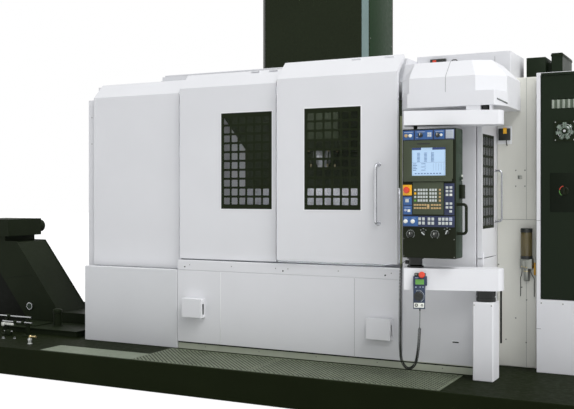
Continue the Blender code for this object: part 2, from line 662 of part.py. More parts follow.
def shell_walls():
    side_front = POST_FRONT + POST_DEPTH + GAP
    under_roof = ROOF_TOP - SHEET - GAP
    box("left_wall", (ENCLOSURE_LEFT, side_front, FLOOR), (ENCLOSURE_LEFT + SHEET, ENCLOSURE_BACK, under_roof),
        WHITE_PAINT)
    inner_left, inner_right = ENCLOSURE_LEFT + SHEET + GAP, ENCLOSURE_RIGHT - SHEET - GAP
    step_left = ROOF_RIGHT - SHEET
    outline = [(inner_left, FLOOR), (inner_right, FLOOR), (inner_right, HOUSING_TOP),
               (step_left, HOUSING_TOP), (step_left, under_roof), (inner_left, under_roof)]
    flat_piece("back_wall", outline, ENCLOSURE_BACK - SHEET, ENCLOSURE_BACK, WHITE_PAINT, plane="XZ")
    box("right_wall", (ENCLOSURE_RIGHT - SHEET, WALL_FRONT, FLOOR),
        (ENCLOSURE_RIGHT, ENCLOSURE_BACK, HOUSING_TOP), WHITE_PAINT)
    roof = box("roof", (ENCLOSURE_LEFT, ROOF_FRONT, ROOF_TOP - SHEET), (ROOF_RIGHT, ENCLOSURE_BACK, ROOF_TOP),
               WHITE_PAINT)
    header = box("roof_header", (ENCLOSURE_LEFT, ROOF_FRONT, ROOF_TOP - HEADER_HEIGHT),
                 (ROOF_RIGHT, ROOF_FRONT + SHEET / 2, ROOF_TOP - SHEET / 2), None)
    step = box("roof_step", (step_left, WALL_FRONT, HOUSING_TOP),
               (ROOF_RIGHT, ENCLOSURE_BACK - SHEET - GAP, ROOF_TOP - SHEET / 2), None)
    low_part = box("roof_low_part", (ROOF_RIGHT - SHEET / 2, WALL_FRONT + GAP, HOUSING_TOP + GAP),
                   (ENCLOSURE_RIGHT, ENCLOSURE_BACK, HOUSING_TOP + SHEET), None)
    join(roof, header, step, low_part)
    seat = ROOF_TOP + GAP
    box("roof_hatch", (HATCH_LEFT, HATCH_FRONT, seat), (HATCH_RIGHT, HATCH_BACK, HATCH_TOP), WHITE_PAINT,
        bevel=PANEL_EDGE)
    front = ROOF_FRONT + PANEL_JOINT
    middle = front + TRACK_STEP_DEPTH
    back = middle + TRACK_STEP_DEPTH
    outline = [(front, seat), (back, seat), (back, TRACK_HIGH_STEP), (middle, TRACK_HIGH_STEP),
               (middle, TRACK_LOW_STEP), (front, TRACK_LOW_STEP)]
    flat_piece("door_track", outline, HATCH_LEFT, HATCH_RIGHT, WHITE_PAINT, plane="YZ")


def door(side, span, front, heights, slope, window_inset, track_step, hangers, hanger_end):
    """One sliding door: a leaning-topped sheet on two hangers, with a window behind its opening."""
    leaf = sloped_sheet("door_" + side, span, front, heights[0], heights[1], slope, WHITE_PAINT)
    back = front + SHEET + CUT_PAST
    middle = span[1] - window_inset
    left, right = middle - WINDOW_WIDTH / 2, middle + WINDOW_WIDTH / 2
    bottom, top = WINDOW_BOTTOM, WINDOW_BOTTOM + WINDOW_HEIGHT
    hole = box("door_" + side + "_window_hole", (left, front - CUT_PAST, bottom), (right, back, top), None)
    rebate = box("door_" + side + "_rebate", (left - PANE_LAP, front + PANE_RECESS, bottom - PANE_LAP),
                 (right + PANE_LAP, back, top + PANE_LAP), None)
    cut(leaf, hole)
    cut(leaf, rebate)
    reach = ROOF_FRONT + PANEL_JOINT + hanger_end
    low = track_step + GAP
    for index, inset in enumerate(hangers):
        centre = span[1] - inset
        join(leaf, box("door_%s_hanger_%d" % (side, index),
                       (centre - HANGER_LENGTH / 2, front + slope - HANGER_ROOT, low),
                       (centre + HANGER_LENGTH / 2, reach, low + HANGER_THICKNESS), None))
    face = front + PANE_RECESS + GAP
    lap = PANE_LAP - GAP
    box("window_" + side, (left - lap, face, bottom - lap), (right + lap, face + PANE, top + lap), SMOKED_PANE)


def door_handle():
    x, seat = DOOR_RIGHT_SPAN[1] - HANDLE_INSET, DOOR_RIGHT_FRONT - GAP
    pull_handle("door_handle", (x, seat, HANDLE_HEIGHTS[0]), (x, seat, HANDLE_HEIGHTS[1]),
                (0, -HANDLE_STANDOFF, 0), HANDLE_RADIUS, HANDLE_BEND, "Y", STAINLESS)


def tower():
    outline = [(TOWER_LEFT, TOWER_BACK), (TOWER_LEFT, TOWER_FRONT + TOWER_CHAMFER),
               (TOWER_LEFT + TOWER_CHAMFER, TOWER_FRONT), (TOWER_RIGHT - TOWER_CHAMFER, TOWER_FRONT),
               (TOWER_RIGHT, TOWER_FRONT + TOWER_CHAMFER), (TOWER_RIGHT, TOWER_BACK)]
    flat_piece("column_cover", outline, ROOF_TOP + GAP, TOWER_TOP, BLACK_PAINT)


def spindle():
    """Head in front of the column, under the roof opening that the column cover closes."""
    top = ROOF_TOP - SHEET - GAP
    x = (TOWER_LEFT + TOWER_RIGHT) / 2
    shoulder = COLUMN_HALF + COLUMN_SPREAD
    bottom, column_top = WAY_COVER_TOP + GAP, HOUSING_TOP - GAP
    outline = [(x - COLUMN_HALF, bottom), (x + COLUMN_HALF, bottom), (x + COLUMN_HALF, COLUMN_SHOULDER),
               (x + shoulder, column_top), (x - shoulder, column_top), (x - COLUMN_HALF, COLUMN_SHOULDER)]
    flat_piece("column", outline, COLUMN_FRONT, COLUMN_FRONT + COLUMN_DEPTH, DARK_STEEL, plane="XZ")
    outline = [(HEAD_FRONT, top), (HEAD_FRONT, HEAD_BOTTOM + HEAD_CHAMFER),
               (HEAD_FRONT + HEAD_CHAMFER, HEAD_BOTTOM), (HEAD_BACK, HEAD_BOTTOM), (HEAD_BACK, top)]
    flat_piece("spindle_head", outline, x - HEAD_WIDTH / 2, x + HEAD_WIDTH / 2, DARK_STEEL, plane="YZ")
    length = HEAD_BOTTOM - GAP - NOSE_BOTTOM
    nose = ((NOSE_RADIUS * NOSE_TIP_SHARE, 0), (NOSE_RADIUS * NOSE_TIP_SHARE, NOSE_FLANGE),
            (NOSE_RADIUS, length / 2), (NOSE_RADIUS, length))
    turned("spindle_nose", nose, (x, SPINDLE_Y, NOSE_BOTTOM), BRIGHT_STEEL)


def bed_and_table():
    back = ENCLOSURE_BACK - BED_INSET
    box("bed", (ENCLOSURE_LEFT + BED_INSET, BED_INSET, FLOOR), (ENCLOSURE_RIGHT - BED_INSET, back, BED_TOP),
        CAST_IRON)
    low = BED_TOP + GAP
    box("table", (-TABLE_LENGTH / 2, TABLE_FRONT, low),
        (TABLE_LENGTH / 2, TABLE_FRONT + TABLE_DEPTH, low + TABLE_THICKNESS), CAST_IRON)
    rise, run = (WAY_COVER_TOP - low) / WAY_COVER_PLATES, WAY_COVER_LEAN / WAY_COVER_PLATES
    outline = [(back, WAY_COVER_TOP), (back, low)]
    for index in range(WAY_COVER_PLATES):
        start = WAY_COVER_FRONT + run * index
        outline += [(start, low + rise * index), (start + run - WAY_COVER_STEP, low + rise * (index + 1))]
    half = WAY_COVER_LENGTH / 2
    flat_piece("way_cover", outline, -half, half, STAINLESS, plane="YZ")


def hood():
    """A ledge, and on it an upright body whose front and right top edges lean in."""
    back = WALL_FRONT - GAP
    ledge = [(HOOD_LEFT, back), (HOOD_LEFT, RIGHT_PANEL_FRONT), (HOOD_FACE_LEFT, HOOD_LEDGE_FRONT),
             (LEDGE_CORNER, HOOD_LEDGE_FRONT), (HOOD_RIGHT, HOOD_CORNER_Y), (HOOD_RIGHT, back)]
    ledge_solid = flat_piece("hood_ledge", ledge, HOOD_BOTTOM, HOOD_LEDGE_TOP, None)
    right, lean = HOOD_RIGHT - HOOD_BODY_STEP, HOOD_TOP - HOOD_SHOULDER
    body = [(HOOD_LEFT, back), (HOOD_LEFT, RIGHT_PANEL_FRONT), (HOOD_FACE_LEFT, HOOD_UPPER_FRONT),
            (UPPER_CORNER, HOOD_UPPER_FRONT), (right, HOOD_CORNER_Y), (right, back)]
    moves = [(0, 0), (0, lean / 2), (0, lean), (-lean / 2, lean), (-lean, lean / 2), (-lean, 0)]
    shape = bmesh.new()
    base = shape.faces.new([shape.verts.new((x, y, HOOD_LEDGE_TOP - ROOT)) for x, y in body])
    for level, lean_in in ((HOOD_SHOULDER, 0), (HOOD_TOP, 1)):
        grown = bmesh.ops.extrude_face_region(shape, geom=[base, *base.edges])["geom"]
        base = next(item for item in grown if isinstance(item, bmesh.types.BMFace))
        for vert, (across, along) in zip(base.verts, moves):
            vert.co += Vector((across * lean_in, along * lean_in, level - vert.co.z))
    bmesh.ops.recalc_face_normals(shape, faces=shape.faces)
    obj = join(place(linked(shape, "hood"), "hood", WHITE_PAINT), ledge_solid)
    x, y = ARM_AXIS
    half = HOOD_BLOCK_DEPTH / 2
    low, high = UPPER_ARM_HEIGHTS[1] + ARM_CLEARANCE, HOOD_BOTTOM + ROOT
    join(obj, boxes("hood_blocks", [((x + left, y - half, low), (x + right, y + half, high))
                                    for left, right in HOOD_BLOCKS]))


def right_end():
    right = ENCLOSURE_RIGHT
    under_hood = HOOD_BOTTOM - GAP
    box("right_front_panel", (CENTRE_SEAM + PANEL_JOINT, RIGHT_PANEL_FRONT, LOWER_BOTTOM),
        (right - SHEET - SIDE_DOOR_GAP, RIGHT_PANEL_FRONT + SHEET, under_hood), WHITE_PAINT, bevel=PANEL_EDGE)
    side = box("side_frame", (right - SHEET, RIGHT_PANEL_FRONT, LOWER_BOTTOM),
               (right, WALL_FRONT - GAP, under_hood), WHITE_PAINT)
    low, high = SIDE_DOOR_BOTTOM - DOOR_CLEARANCE, SIDE_DOOR_TOP + DOOR_CLEARANCE
    cut(side, box("side_door_bay", (right - 2 * SHEET, RIGHT_PANEL_FRONT - SHEET, low),
                  (right + SHEET, SIDE_DOOR_BACK + DOOR_CLEARANCE, high), None))
    leaf = box("side_door", (right - SHEET, SIDE_DOOR_FRONT, SIDE_DOOR_BOTTOM),
               (right, SIDE_DOOR_BACK, SIDE_DOOR_TOP), WHITE_PAINT)
    for low_end, outward in ((SIDE_DOOR_BOTTOM, -1), (SIDE_DOOR_TOP, 1)):
        split = low_end + outward * DOOR_CLEARANCE / 2
        fixed = split + outward * (GAP + KNUCKLE_LENGTH) / 2
        moving = split - outward * (GAP + KNUCKLE_LENGTH) / 2
        for owner, middle in ((side, fixed), (leaf, moving)):
            join(owner, cylinder("%s_knuckle_%d" % (owner.name, outward), (*SIDE_HINGE, middle),
                                 SIDE_HINGE_RADIUS, KNUCKLE_LENGTH, None, sides=20))
    (near, far), (low, high) = SIDE_WINDOW_SPAN, SIDE_WINDOW_HEIGHTS
    cut(leaf, box("side_window_hole", (right - 2 * SHEET, near, low), (right + SHEET, far, high), None))
    cut(leaf, box("side_window_rebate", (right - 2 * SHEET, near - PANE_LAP, low - PANE_LAP),
                  (right - PANE_RECESS, far + PANE_LAP, high + PANE_LAP), None))
    face = right - PANE_RECESS - GAP
    lap = PANE_LAP - GAP
    box("side_window", (face - PANE, near - lap, low - lap), (face, far + lap, high + lap), SMOKED_PANE)
    seat, y = right + GAP, SIDE_DOOR_BACK - SIDE_HANDLE_INSET
    pull_handle("side_door_handle", (seat, y, SIDE_HANDLE_HEIGHTS[0]), (seat, y, SIDE_HANDLE_HEIGHTS[1]),
                (SIDE_HANDLE_STANDOFF, 0, 0), SIDE_HANDLE_RADIUS, HANDLE_BEND, "X", STAINLESS)
    box("rear_housing", (seat, WALL_FRONT, FLOOR), (HOUSING_RIGHT, ENCLOSURE_BACK, HOUSING_TOP), BEIGE_PAINT,
        bevel=HOUSING_EDGE)
    low, high = HOUSING_TOP + GAP, HOUSING_TOP + SHEET + GAP
    outline = [(MAGAZINE_LEFT, ROOF_TOP + GAP), (ROOF_RIGHT + GAP, ROOF_TOP + GAP), (ROOF_RIGHT + GAP, high),
               (seat, high), (seat, low), (MAGAZINE_RIGHT, low), (MAGAZINE_RIGHT, MAGAZINE_TOP),
               (MAGAZINE_LEFT, MAGAZINE_TOP)]
    flat_piece("magazine_cover", outline, MAGAZINE_FRONT, MAGAZINE_BACK, WHITE_PAINT, plane="XZ")


def cabinet():
    body = box("cabinet", (CABINET_LEFT, CABINET_FRONT, FLOOR), (CABINET_RIGHT, CABINET_BACK, CABINET_TOP),
               WHITE_PAINT, bevel=CABINET_EDGE)
    inner_left, inner_right = CABINET_LEFT + CABINET_FRAME, CABINET_RIGHT - CABINET_FRAME
    inner_top = CABINET_TOP - CABINET_WALL
    cut(body, box("cabinet_recess", (inner_left, CABINET_FRONT - CUT_PAST, CABINET_DOOR_BOTTOM),
                  (inner_right, CABINET_BACK - CABINET_WALL, inner_top), None))
    door_front, door_low = CABINET_FRONT + CABINET_DOOR_RECESS, CABINET_DOOR_BOTTOM + CABINET_DOOR_GAP
    panel = box("cabinet_door", (inner_left + CABINET_DOOR_GAP, door_front, door_low),
                (inner_right - CABINET_DOOR_GAP, door_front + CABINET_DOOR_THICKNESS,
                 inner_top - CABINET_DOOR_GAP), GREEN_BLACK_PAINT)
    edge, y = inner_right - CABINET_DOOR_GAP / 2, CABINET_FRONT - CABINET_HINGE_RADIUS
    reach = CABINET_DOOR_GAP + CABINET_STRAP
    half = KNUCKLE_LENGTH / 2
    for index, height in enumerate(CABINET_HINGE_HEIGHTS):
        for owner, side in ((body, 1), (panel, -1)):
            centre = height - side * (half + GAP / 2)
            low = min(edge, edge + side * reach)
            name = "%s_hinge_%d" % (owner.name, index)
            knuckle = cylinder(name, (edge, y, centre), CABINET_HINGE_RADIUS, KNUCKLE_LENGTH, None, sides=16)
            strap = box(name + "_strap", (low, y, centre - half + CABINET_EDGE / 2),
                        (low + reach, door_front + CABINET_DOOR_GAP, centre + half - CABINET_EDGE / 2), None)
            join(owner, knuckle, strap)
    middle = (CABINET_LEFT + CABINET_RIGHT) / 2
    cabinet_fan(middle, door_front - GAP)
    cabinet_switch(middle, door_front - GAP)
    first = middle - VENT_PITCH * (VENT_SLOTS - 1) / 2
    slots = [first + VENT_PITCH * index for index in range(VENT_SLOTS)]
    cut(panel, boxes("cabinet_vent", [((x - VENT_SLOT_WIDTH / 2, door_front - CUT_PAST, VENT_HEIGHTS[0]),
                                       (x + VENT_SLOT_WIDTH / 2, CABINET_FRONT + CUT_PAST, VENT_HEIGHTS[1]))
                                      for x in slots]))
    box("duct", (DUCT_LEFT, DUCT_FRONT, CABINET_TOP + GAP), (DUCT_RIGHT, DUCT_BACK, DUCT_TOP),
        GREEN_BLACK_PAINT, bevel=CABINET_EDGE)


def arm_outline():
    """Plan of an arm in its own frame: the pivot at the origin and the arm towards -X."""
    start = sqrt(ARM_END_RADIUS ** 2 - ARM_HALF_DEPTH ** 2)
    angle = atan2(ARM_HALF_DEPTH, start)
    arc = []
    steps = 12
    for step in range(steps + 1):
        turn = -angle + 2 * angle * step / steps
        arc.append((ARM_END_RADIUS * cos(turn), ARM_END_RADIUS * sin(turn)))
    return [(-ARM_REACH, -ARM_HALF_DEPTH)] + arc + [(-ARM_REACH, ARM_HALF_DEPTH)]


def turn_with_arm(obj):
    """Put a piece that was made along -X from the origin onto the swung arm."""
    swing = Matrix.Translation((*ARM_AXIS, 0)) @ Matrix.Rotation(ARM_SWING, 4, "Z")
    obj.matrix_world = swing @ obj.matrix_world
    return obj


def on_arm(along, out=0.0):
    """Plan point that lies along the arm's centre line and out from it, towards the operator."""
    return (ARM_AXIS[0] - along * cos(ARM_SWING) + out * sin(ARM_SWING),
            ARM_AXIS[1] - along * sin(ARM_SWING) - out * cos(ARM_SWING))


def arms():
    for name, heights in (("lower_arm", LOWER_ARM_HEIGHTS), ("upper_arm", UPPER_ARM_HEIGHTS)):
        turn_with_arm(flat_piece(name, arm_outline(), heights[0], heights[1], WHITE_PAINT))
    x, y = ARM_AXIS
    box("pedestal", (x - PEDESTAL_WIDTH / 2, y - PEDESTAL_DEPTH / 2, FLOOR),
        (x + PEDESTAL_WIDTH / 2, y + PEDESTAL_DEPTH / 2, PEDESTAL_TOP), WHITE_PAINT, bevel=PEDESTAL_EDGE,
        segments=2)
    low, high = PEDESTAL_TOP + GAP, LOWER_ARM_HEIGHTS[0] - GAP
    rim, waist, length = PEDESTAL_PIVOT_RADIUS, PEDESTAL_PIVOT_RADIUS - PIVOT_GROOVE, high - low
    grooved = ((rim, 0), (rim, length / 3), (waist, length / 3), (waist, length / 2), (rim, length / 2),
               (rim, length))
    turned("pedestal_pivot", grooved, (x, y, low), DARK_STEEL)
    low, high = UPPER_ARM_HEIGHTS[1] + GAP, HOOD_BOTTOM - GAP
    cylinder("hood_pivot", (x, y, (low + high) / 2), UPPER_PIVOT_RADIUS, high - low, DARK_STEEL)


def pendant():
    x, y = on_arm(PENDANT_PIVOT)
    left = x - PENDANT_PIVOT_TO_LEFT
    right = left + PENDANT_WIDTH
    front, back = y - PENDANT_DEPTH / 2, y + PENDANT_DEPTH / 2
    low, high = LOWER_ARM_HEIGHTS[1] + GAP, PENDANT_BOTTOM - GAP
    length = high - low
    shoulder = length - SWIVEL_FLANGE
    profile = ((SWIVEL_RADIUS, 0), (SWIVEL_RADIUS, SWIVEL_FLANGE), (SWIVEL_WAIST, 2 * SWIVEL_FLANGE),
               (SWIVEL_WAIST, shoulder), (SWIVEL_RADIUS, shoulder), (SWIVEL_RADIUS, length))
    base = turned("swivel_base", profile, (x, y, low), DARK_STEEL)
    gland_end = CORD_ROUTE[0][0] + GAP
    gland_root = x - SWIVEL_WAIST + ROOT
    join(base, cylinder("cord_gland", ((gland_end + gland_root) / 2, CORD_ROUTE[0][1], CORD_ROUTE[0][2]),
                        GLAND_RADIUS, gland_root - gland_end, None, axis="X", sides=20))
    pin_low, pin_high = PENDANT_TOP - ROOT, UPPER_ARM_HEIGHTS[0] - GAP
    pin = cylinder("swivel_pin", (x, y, (pin_low + pin_high) / 2), TOP_SWIVEL_RADIUS, pin_high - pin_low, None,
                   sides=20)
    housing = box("pendant_housing", (left, front, PENDANT_BOTTOM), (right, back, PENDANT_TOP), PENDANT_BLACK,
                  bevel=PENDANT_EDGE, segments=2)
    join(housing, pin)
    for index, (across, down) in enumerate(KNOBS):
        spot = (left + across, front + KNOB_PROFILE[0][0] / 2, PENDANT_TOP - down)
        join(housing, turned("pendant_knob_%d" % index, KNOB_PROFILE, spot, None, axis="Y", sides=20))
    pendant_face(left, front - GAP)
    handle_y = back - PENDANT_HANDLE_BACK
    pull_handle("pendant_handle", (right + GAP, handle_y, PENDANT_HANDLE_HEIGHTS[0]),
                (right + GAP, handle_y, PENDANT_HANDLE_HEIGHTS[1]), (PENDANT_HANDLE_STANDOFF, 0, 0),
                PENDANT_HANDLE_RADIUS, PENDANT_HANDLE_BEND, "X", PENDANT_BLACK)


def handwheel_unit():
    """Made about its own middle, with head block, wheel and stop button, then put on the arm."""
    half = UNIT_DEPTH / 2
    body = box("handwheel_unit", (UNIT_SPAN[0], -half, UNIT_SHOULDER), (UNIT_SPAN[1], half, UNIT_TOP), KEY_BLUE)
    lower = box("unit_lower", (UNIT_LOWER_SPAN[0], -half, UNIT_BOTTOM),
                (UNIT_LOWER_SPAN[1], half, UNIT_SHOULDER + ROOT), None)
    head = box("unit_head", (UNIT_HEAD_SPAN[0], UNIT_HEAD_INSET - half, UNIT_TOP - ROOT),
               (UNIT_HEAD_SPAN[1], half - UNIT_HEAD_INSET, UNIT_HEAD_TOP), None)
    wheel = turned("unit_wheel", UNIT_WHEEL_PROFILE, (UNIT_WHEEL[0], 0, UNIT_WHEEL[1]), None, axis="Y")
    stop = turned("unit_stop", UNIT_STOP_PROFILE, (UNIT_STOP[0], 0, UNIT_STOP[1]), None, axis="Y", sides=24)
    join(body, lower, head, wheel, stop)
    x, y = on_arm(UNIT_ALONG_ARM, ARM_HALF_DEPTH + GAP + half)
    on_the_arm = Matrix.Translation((x, y, 0)) @ Matrix.Rotation(ARM_SWING, 4, "Z")
    for obj in (body, lower, head, wheel, stop):
        obj.matrix_world = on_the_arm @ obj.matrix_world
    tube("curly_cord", smooth_line(CORD_ROUTE, CORD_POINTS), CORD_RADIUS, RUBBER, resolution=2)


def conveyor():
    """Closed trough between two side plates, which climbs to a drive head with a chute and a motor."""
    body = flat_piece("conveyor_body", conveyor_outline(CONVEYOR_RIM), CONVEYOR_FRONT + CONVEYOR_PLATE / 2,
                      CONVEYOR_BACK - CONVEYOR_PLATE / 2, DARK_STEEL, plane="XZ")
    for index, front in enumerate((CONVEYOR_FRONT, CONVEYOR_BACK - CONVEYOR_PLATE)):
        join(body, flat_piece("conveyor_side_%d" % index, conveyor_outline(0), front, front + CONVEYOR_PLATE,
                              None, plane="XZ"))
    low = PLATFORM_HEIGHT + CONVEYOR_UNDERSIDE
    join(body, box("conveyor_leg", (CONVEYOR_LEG[0], CONVEYOR_FRONT + CONVEYOR_LEG_INSET, FLOOR),
                   (CONVEYOR_LEG[1], CONVEYOR_BACK - CONVEYOR_LEG_INSET, low + ROOT), None))
    (left, right), (bottom, top) = CONVEYOR_HEAD, CONVEYOR_HEAD_HEIGHTS
    chute_right, chute_bottom = left + CONVEYOR_CHUTE_WIDTH, bottom - CONVEYOR_CHUTE_DROP
    outline = [(left, chute_bottom), (chute_right, chute_bottom), (chute_right, bottom), (right, bottom),
               (right, top), (left, top)]
    front, back = CONVEYOR_FRONT - CONVEYOR_HEAD_PROUD, CONVEYOR_BACK + CONVEYOR_HEAD_PROUD
    head = flat_piece("conveyor_head", outline, front, back, DARK_STEEL, plane="XZ")
    radius, length = CONVEYOR_MOTOR_RADIUS, CONVEYOR_MOTOR_LENGTH
    motor = ((radius * MOTOR_COWL_SHARE, 0), (radius, CONVEYOR_MOTOR_FLANGE), (radius, length + ROOT))
    spot = (sum(CONVEYOR_NECK) / 2, back + length, (bottom + top) / 2)
    join(head, turned("conveyor_motor", motor, spot, None, axis="Y", sides=24))


def pull_handle(name, start, end, out, radius, bend, axis, paint):
    """A bent tube with a round foot at each end; axis is the way its feet face, X or Y."""
    inset = Vector(out).normalized() * FOOT_THICKNESS / 2
    line = bow(Vector(start) + inset, Vector(end) + inset, Vector(out) - inset, bend)
    handle = tube(name, line, radius, paint)
    rim = radius * FOOT_SHARE
    foot = ((rim, 0), (rim, FOOT_THICKNESS / 2), ((radius + rim) / 2, FOOT_THICKNESS))
    for index, spot in enumerate((start, end)):
        join(handle, turned("%s_foot_%d" % (name, index), foot, spot, None, axis=axis, sides=20))


def wall_fittings():
    """Interlock switch and lubricator on the rear housing's front face."""
    seat = WALL_FRONT - GAP
    sizes = ((SWITCH_PLATE_SPAN, SWITCH_PLATE_HEIGHTS, SWITCH_PLATE),
             (SWITCH_BODY_SPAN, SWITCH_BODY_HEIGHTS, SWITCH_BODY),
             (SWITCH_KEY_SPAN, SWITCH_KEY_HEIGHTS, SWITCH_KEY))
    layers = [box("interlock_%d" % index, (left, seat - depth, low), (right, seat, high), PENDANT_BLACK)
              for index, ((left, right), (low, high), depth) in enumerate(sizes)]
    place(layers[0], "interlock_switch", PENDANT_BLACK)
    join(*layers)
    bottom, top = RESERVOIR_HEIGHTS
    y = seat - RESERVOIR_STANDOFF - RESERVOIR_RADIUS
    half = PUMP_WIDTH / 2
    pump = box("lubricator", (RESERVOIR_X - half, seat - PUMP_DEPTH, PUMP_BOTTOM),
               (RESERVOIR_X + half, seat, bottom), DARK_STEEL)
    inner, height = RESERVOIR_RADIUS - RESERVOIR_BAND / 2, top - bottom + ROOT
    jar = ((inner, 0), (inner, height - 2 * RESERVOIR_BAND), (RESERVOIR_RADIUS, height - 2 * RESERVOIR_BAND),
           (RESERVOIR_RADIUS, height))
    join(pump, turned("lubricator_jar", jar, (RESERVOIR_X, y, bottom - ROOT), None),
         cylinder("lubricator_motor", (RESERVOIR_X, y, (PUMP_MOTOR_BOTTOM + PUMP_BOTTOM + ROOT) / 2),
                  PUMP_MOTOR_RADIUS, PUMP_BOTTOM + ROOT - PUMP_MOTOR_BOTTOM, None, sides=20))


def cabinet_fan(x, seat):
    """A square plate with a round opening, and the guard's spokes and hub in it."""
    half = FAN_SQUARE / 2
    fan = box("cabinet_fan", (x - half, seat - FAN_PLATE, FAN_HEIGHT - half),
              (x + half, seat, FAN_HEIGHT + half), DARK_STEEL)
    cut(fan, cylinder("cabinet_fan_opening", (x, seat, FAN_HEIGHT), FAN_RADIUS, 2 * CUT_PAST, None, axis="Y"))
    spokes = bmesh.new()
    inner, outer = FAN_HUB_RADIUS - FAN_RIM / 2, FAN_RADIUS + FAN_RIM / 2
    size = Matrix.Diagonal((FAN_SPOKE_WIDTH, FAN_PLATE / 2, outer - inner, 1.0))
    spoke = Matrix.Translation((0, 0, (inner + outer) / 2)) @ size
    for index in range(FAN_SPOKES):
        made = bmesh.ops.create_cube(spokes, size=1.0)["verts"]
        turn = Matrix.Rotation(2 * pi * index / FAN_SPOKES, 4, "Y")
        bmesh.ops.transform(spokes, matrix=turn @ spoke, verts=made)
    guard = linked(spokes, "cabinet_fan_spokes")
    guard.matrix_world = Matrix.Translation((x, seat - FAN_PLATE / 2, FAN_HEIGHT))
    profile = ((FAN_HUB_RADIUS, 0), (FAN_HUB_RADIUS, FAN_DEPTH / 2), (FAN_HUB_RADIUS / 2, FAN_DEPTH))
    hub = turned("cabinet_fan_hub", profile, (x, seat, FAN_HEIGHT), None, axis="Y", sides=24)
    join(fan, place(guard, "cabinet_fan_spokes", None), hub)


def cabinet_switch(x, seat):
    edge = SWITCH_ROSE / 2
    profile = ((SWITCH_ROSE_RADIUS, 0), (SWITCH_ROSE_RADIUS, edge), (SWITCH_ROSE_RADIUS - edge, SWITCH_ROSE))
    rose = turned("cabinet_switch", profile, (x, seat, SWITCH_HEIGHT), PENDANT_BLACK, axis="Y", sides=28)
    width, depth, height = SWITCH_KNOB
    low, high = SWITCH_HEIGHT - height / 2, SWITCH_HEIGHT + height / 2
    join(rose, box("cabinet_switch_knob", (x - width / 2, seat - SWITCH_ROSE - depth, low),
                   (x + width / 2, seat - edge, high), None))


def pendant_face(left, seat):
    """Display with a sunk screen, keyboard with its keys, and the stop button."""
    display = box("display_unit", *on_face(left, DISPLAY, seat, PENDANT_SKIN), KEY_GREY, bevel=PANEL_EDGE)
    front = seat - PENDANT_SKIN
    cut(display, box("display_screen", *on_face(left, SCREEN, front + SCREEN_DEPTH, CUT_PAST), None))
    keyboard = box("key_panel", *on_face(left, KEYBOARD, seat, KEYBOARD_SKIN), KEY_GREY)
    front = seat - KEYBOARD_SKIN
    half = KEY_SIZE / 2
    keys = [on_face(left, ((across - half, across + half), (down - half, down + half)),
                    front + KEYBOARD_SKIN / 2, KEYBOARD_SKIN / 2 + KEY_HEIGHT)
            for across in KEY_COLUMNS for down in KEY_ROWS]
    join(keyboard, boxes("key_panel_keys", keys))
    plate = box("stop_button", *on_face(left, STOP_PLATE, seat, STOP_PLATE_SKIN), SIGNAL_YELLOW)
    join(plate, turned("stop_mushroom", STOP_PROFILE,
                       (left + STOP_CENTRE[0], seat - STOP_PLATE_SKIN / 2, PENDANT_TOP - STOP_CENTRE[1]), None,
                       axis="Y", sides=28))


def conveyor_outline(rim):
    """The trough from the side, its upper edges lowered by rim: level, then climbing to a level neck."""
    low = PLATFORM_HEIGHT + CONVEYOR_UNDERSIDE
    start, foot = ENCLOSURE_LEFT - GAP, CONVEYOR_LEVEL_TOP - rim
    top = CONVEYOR_CLIMB_TOP - rim
    corner = CONVEYOR_FOOT_X - (CONVEYOR_CLIMB_TOP - CONVEYOR_LEVEL_TOP) / tan(CONVEYOR_SLOPE)
    under_x = corner - CONVEYOR_SIDE_DEPTH * sin(CONVEYOR_SLOPE)
    under_z = CONVEYOR_CLIMB_TOP - CONVEYOR_SIDE_DEPTH * cos(CONVEYOR_SLOPE)
    neck = CONVEYOR_HEAD_HEIGHTS[0] - GAP
    return [(start, low), (start, foot), (CONVEYOR_FOOT_X, foot), (corner, top), (CONVEYOR_NECK[1], top),
            (CONVEYOR_NECK[1], neck), (CONVEYOR_NECK[0], neck), (under_x, under_z),
            (under_x + (under_z - low) / tan(CONVEYOR_SLOPE), low)]


def coolant_tank():
    """Low tank with an overhanging lid, an access hatch and a pump."""
    right = ENCLOSURE_LEFT - TANK_TO_ENCLOSURE
    lid_low = TANK_TOP - TANK_LID
    tank = box("coolant_tank", (TANK_LEFT, TANK_FRONT, FLOOR), (right, TANK_BACK, lid_low), DARK_STEEL)
    proud = TANK_LID_PROUD
    lid = box("coolant_tank_lid", (TANK_LEFT - proud, TANK_FRONT - proud, lid_low - TANK_LID / 2),
              (right + proud, TANK_BACK + proud, TANK_TOP), None)
    (left, end), (front, back) = TANK_HATCH
    hatch = box("coolant_tank_hatch", (left, front, lid_low), (end, back, TANK_TOP + TANK_HATCH_HEIGHT), None)
    pump = turned("coolant_tank_pump", TANK_PUMP_PROFILE, (*TANK_PUMP, lid_low), None, sides=24)
    join(tank, lid, hatch, pump)


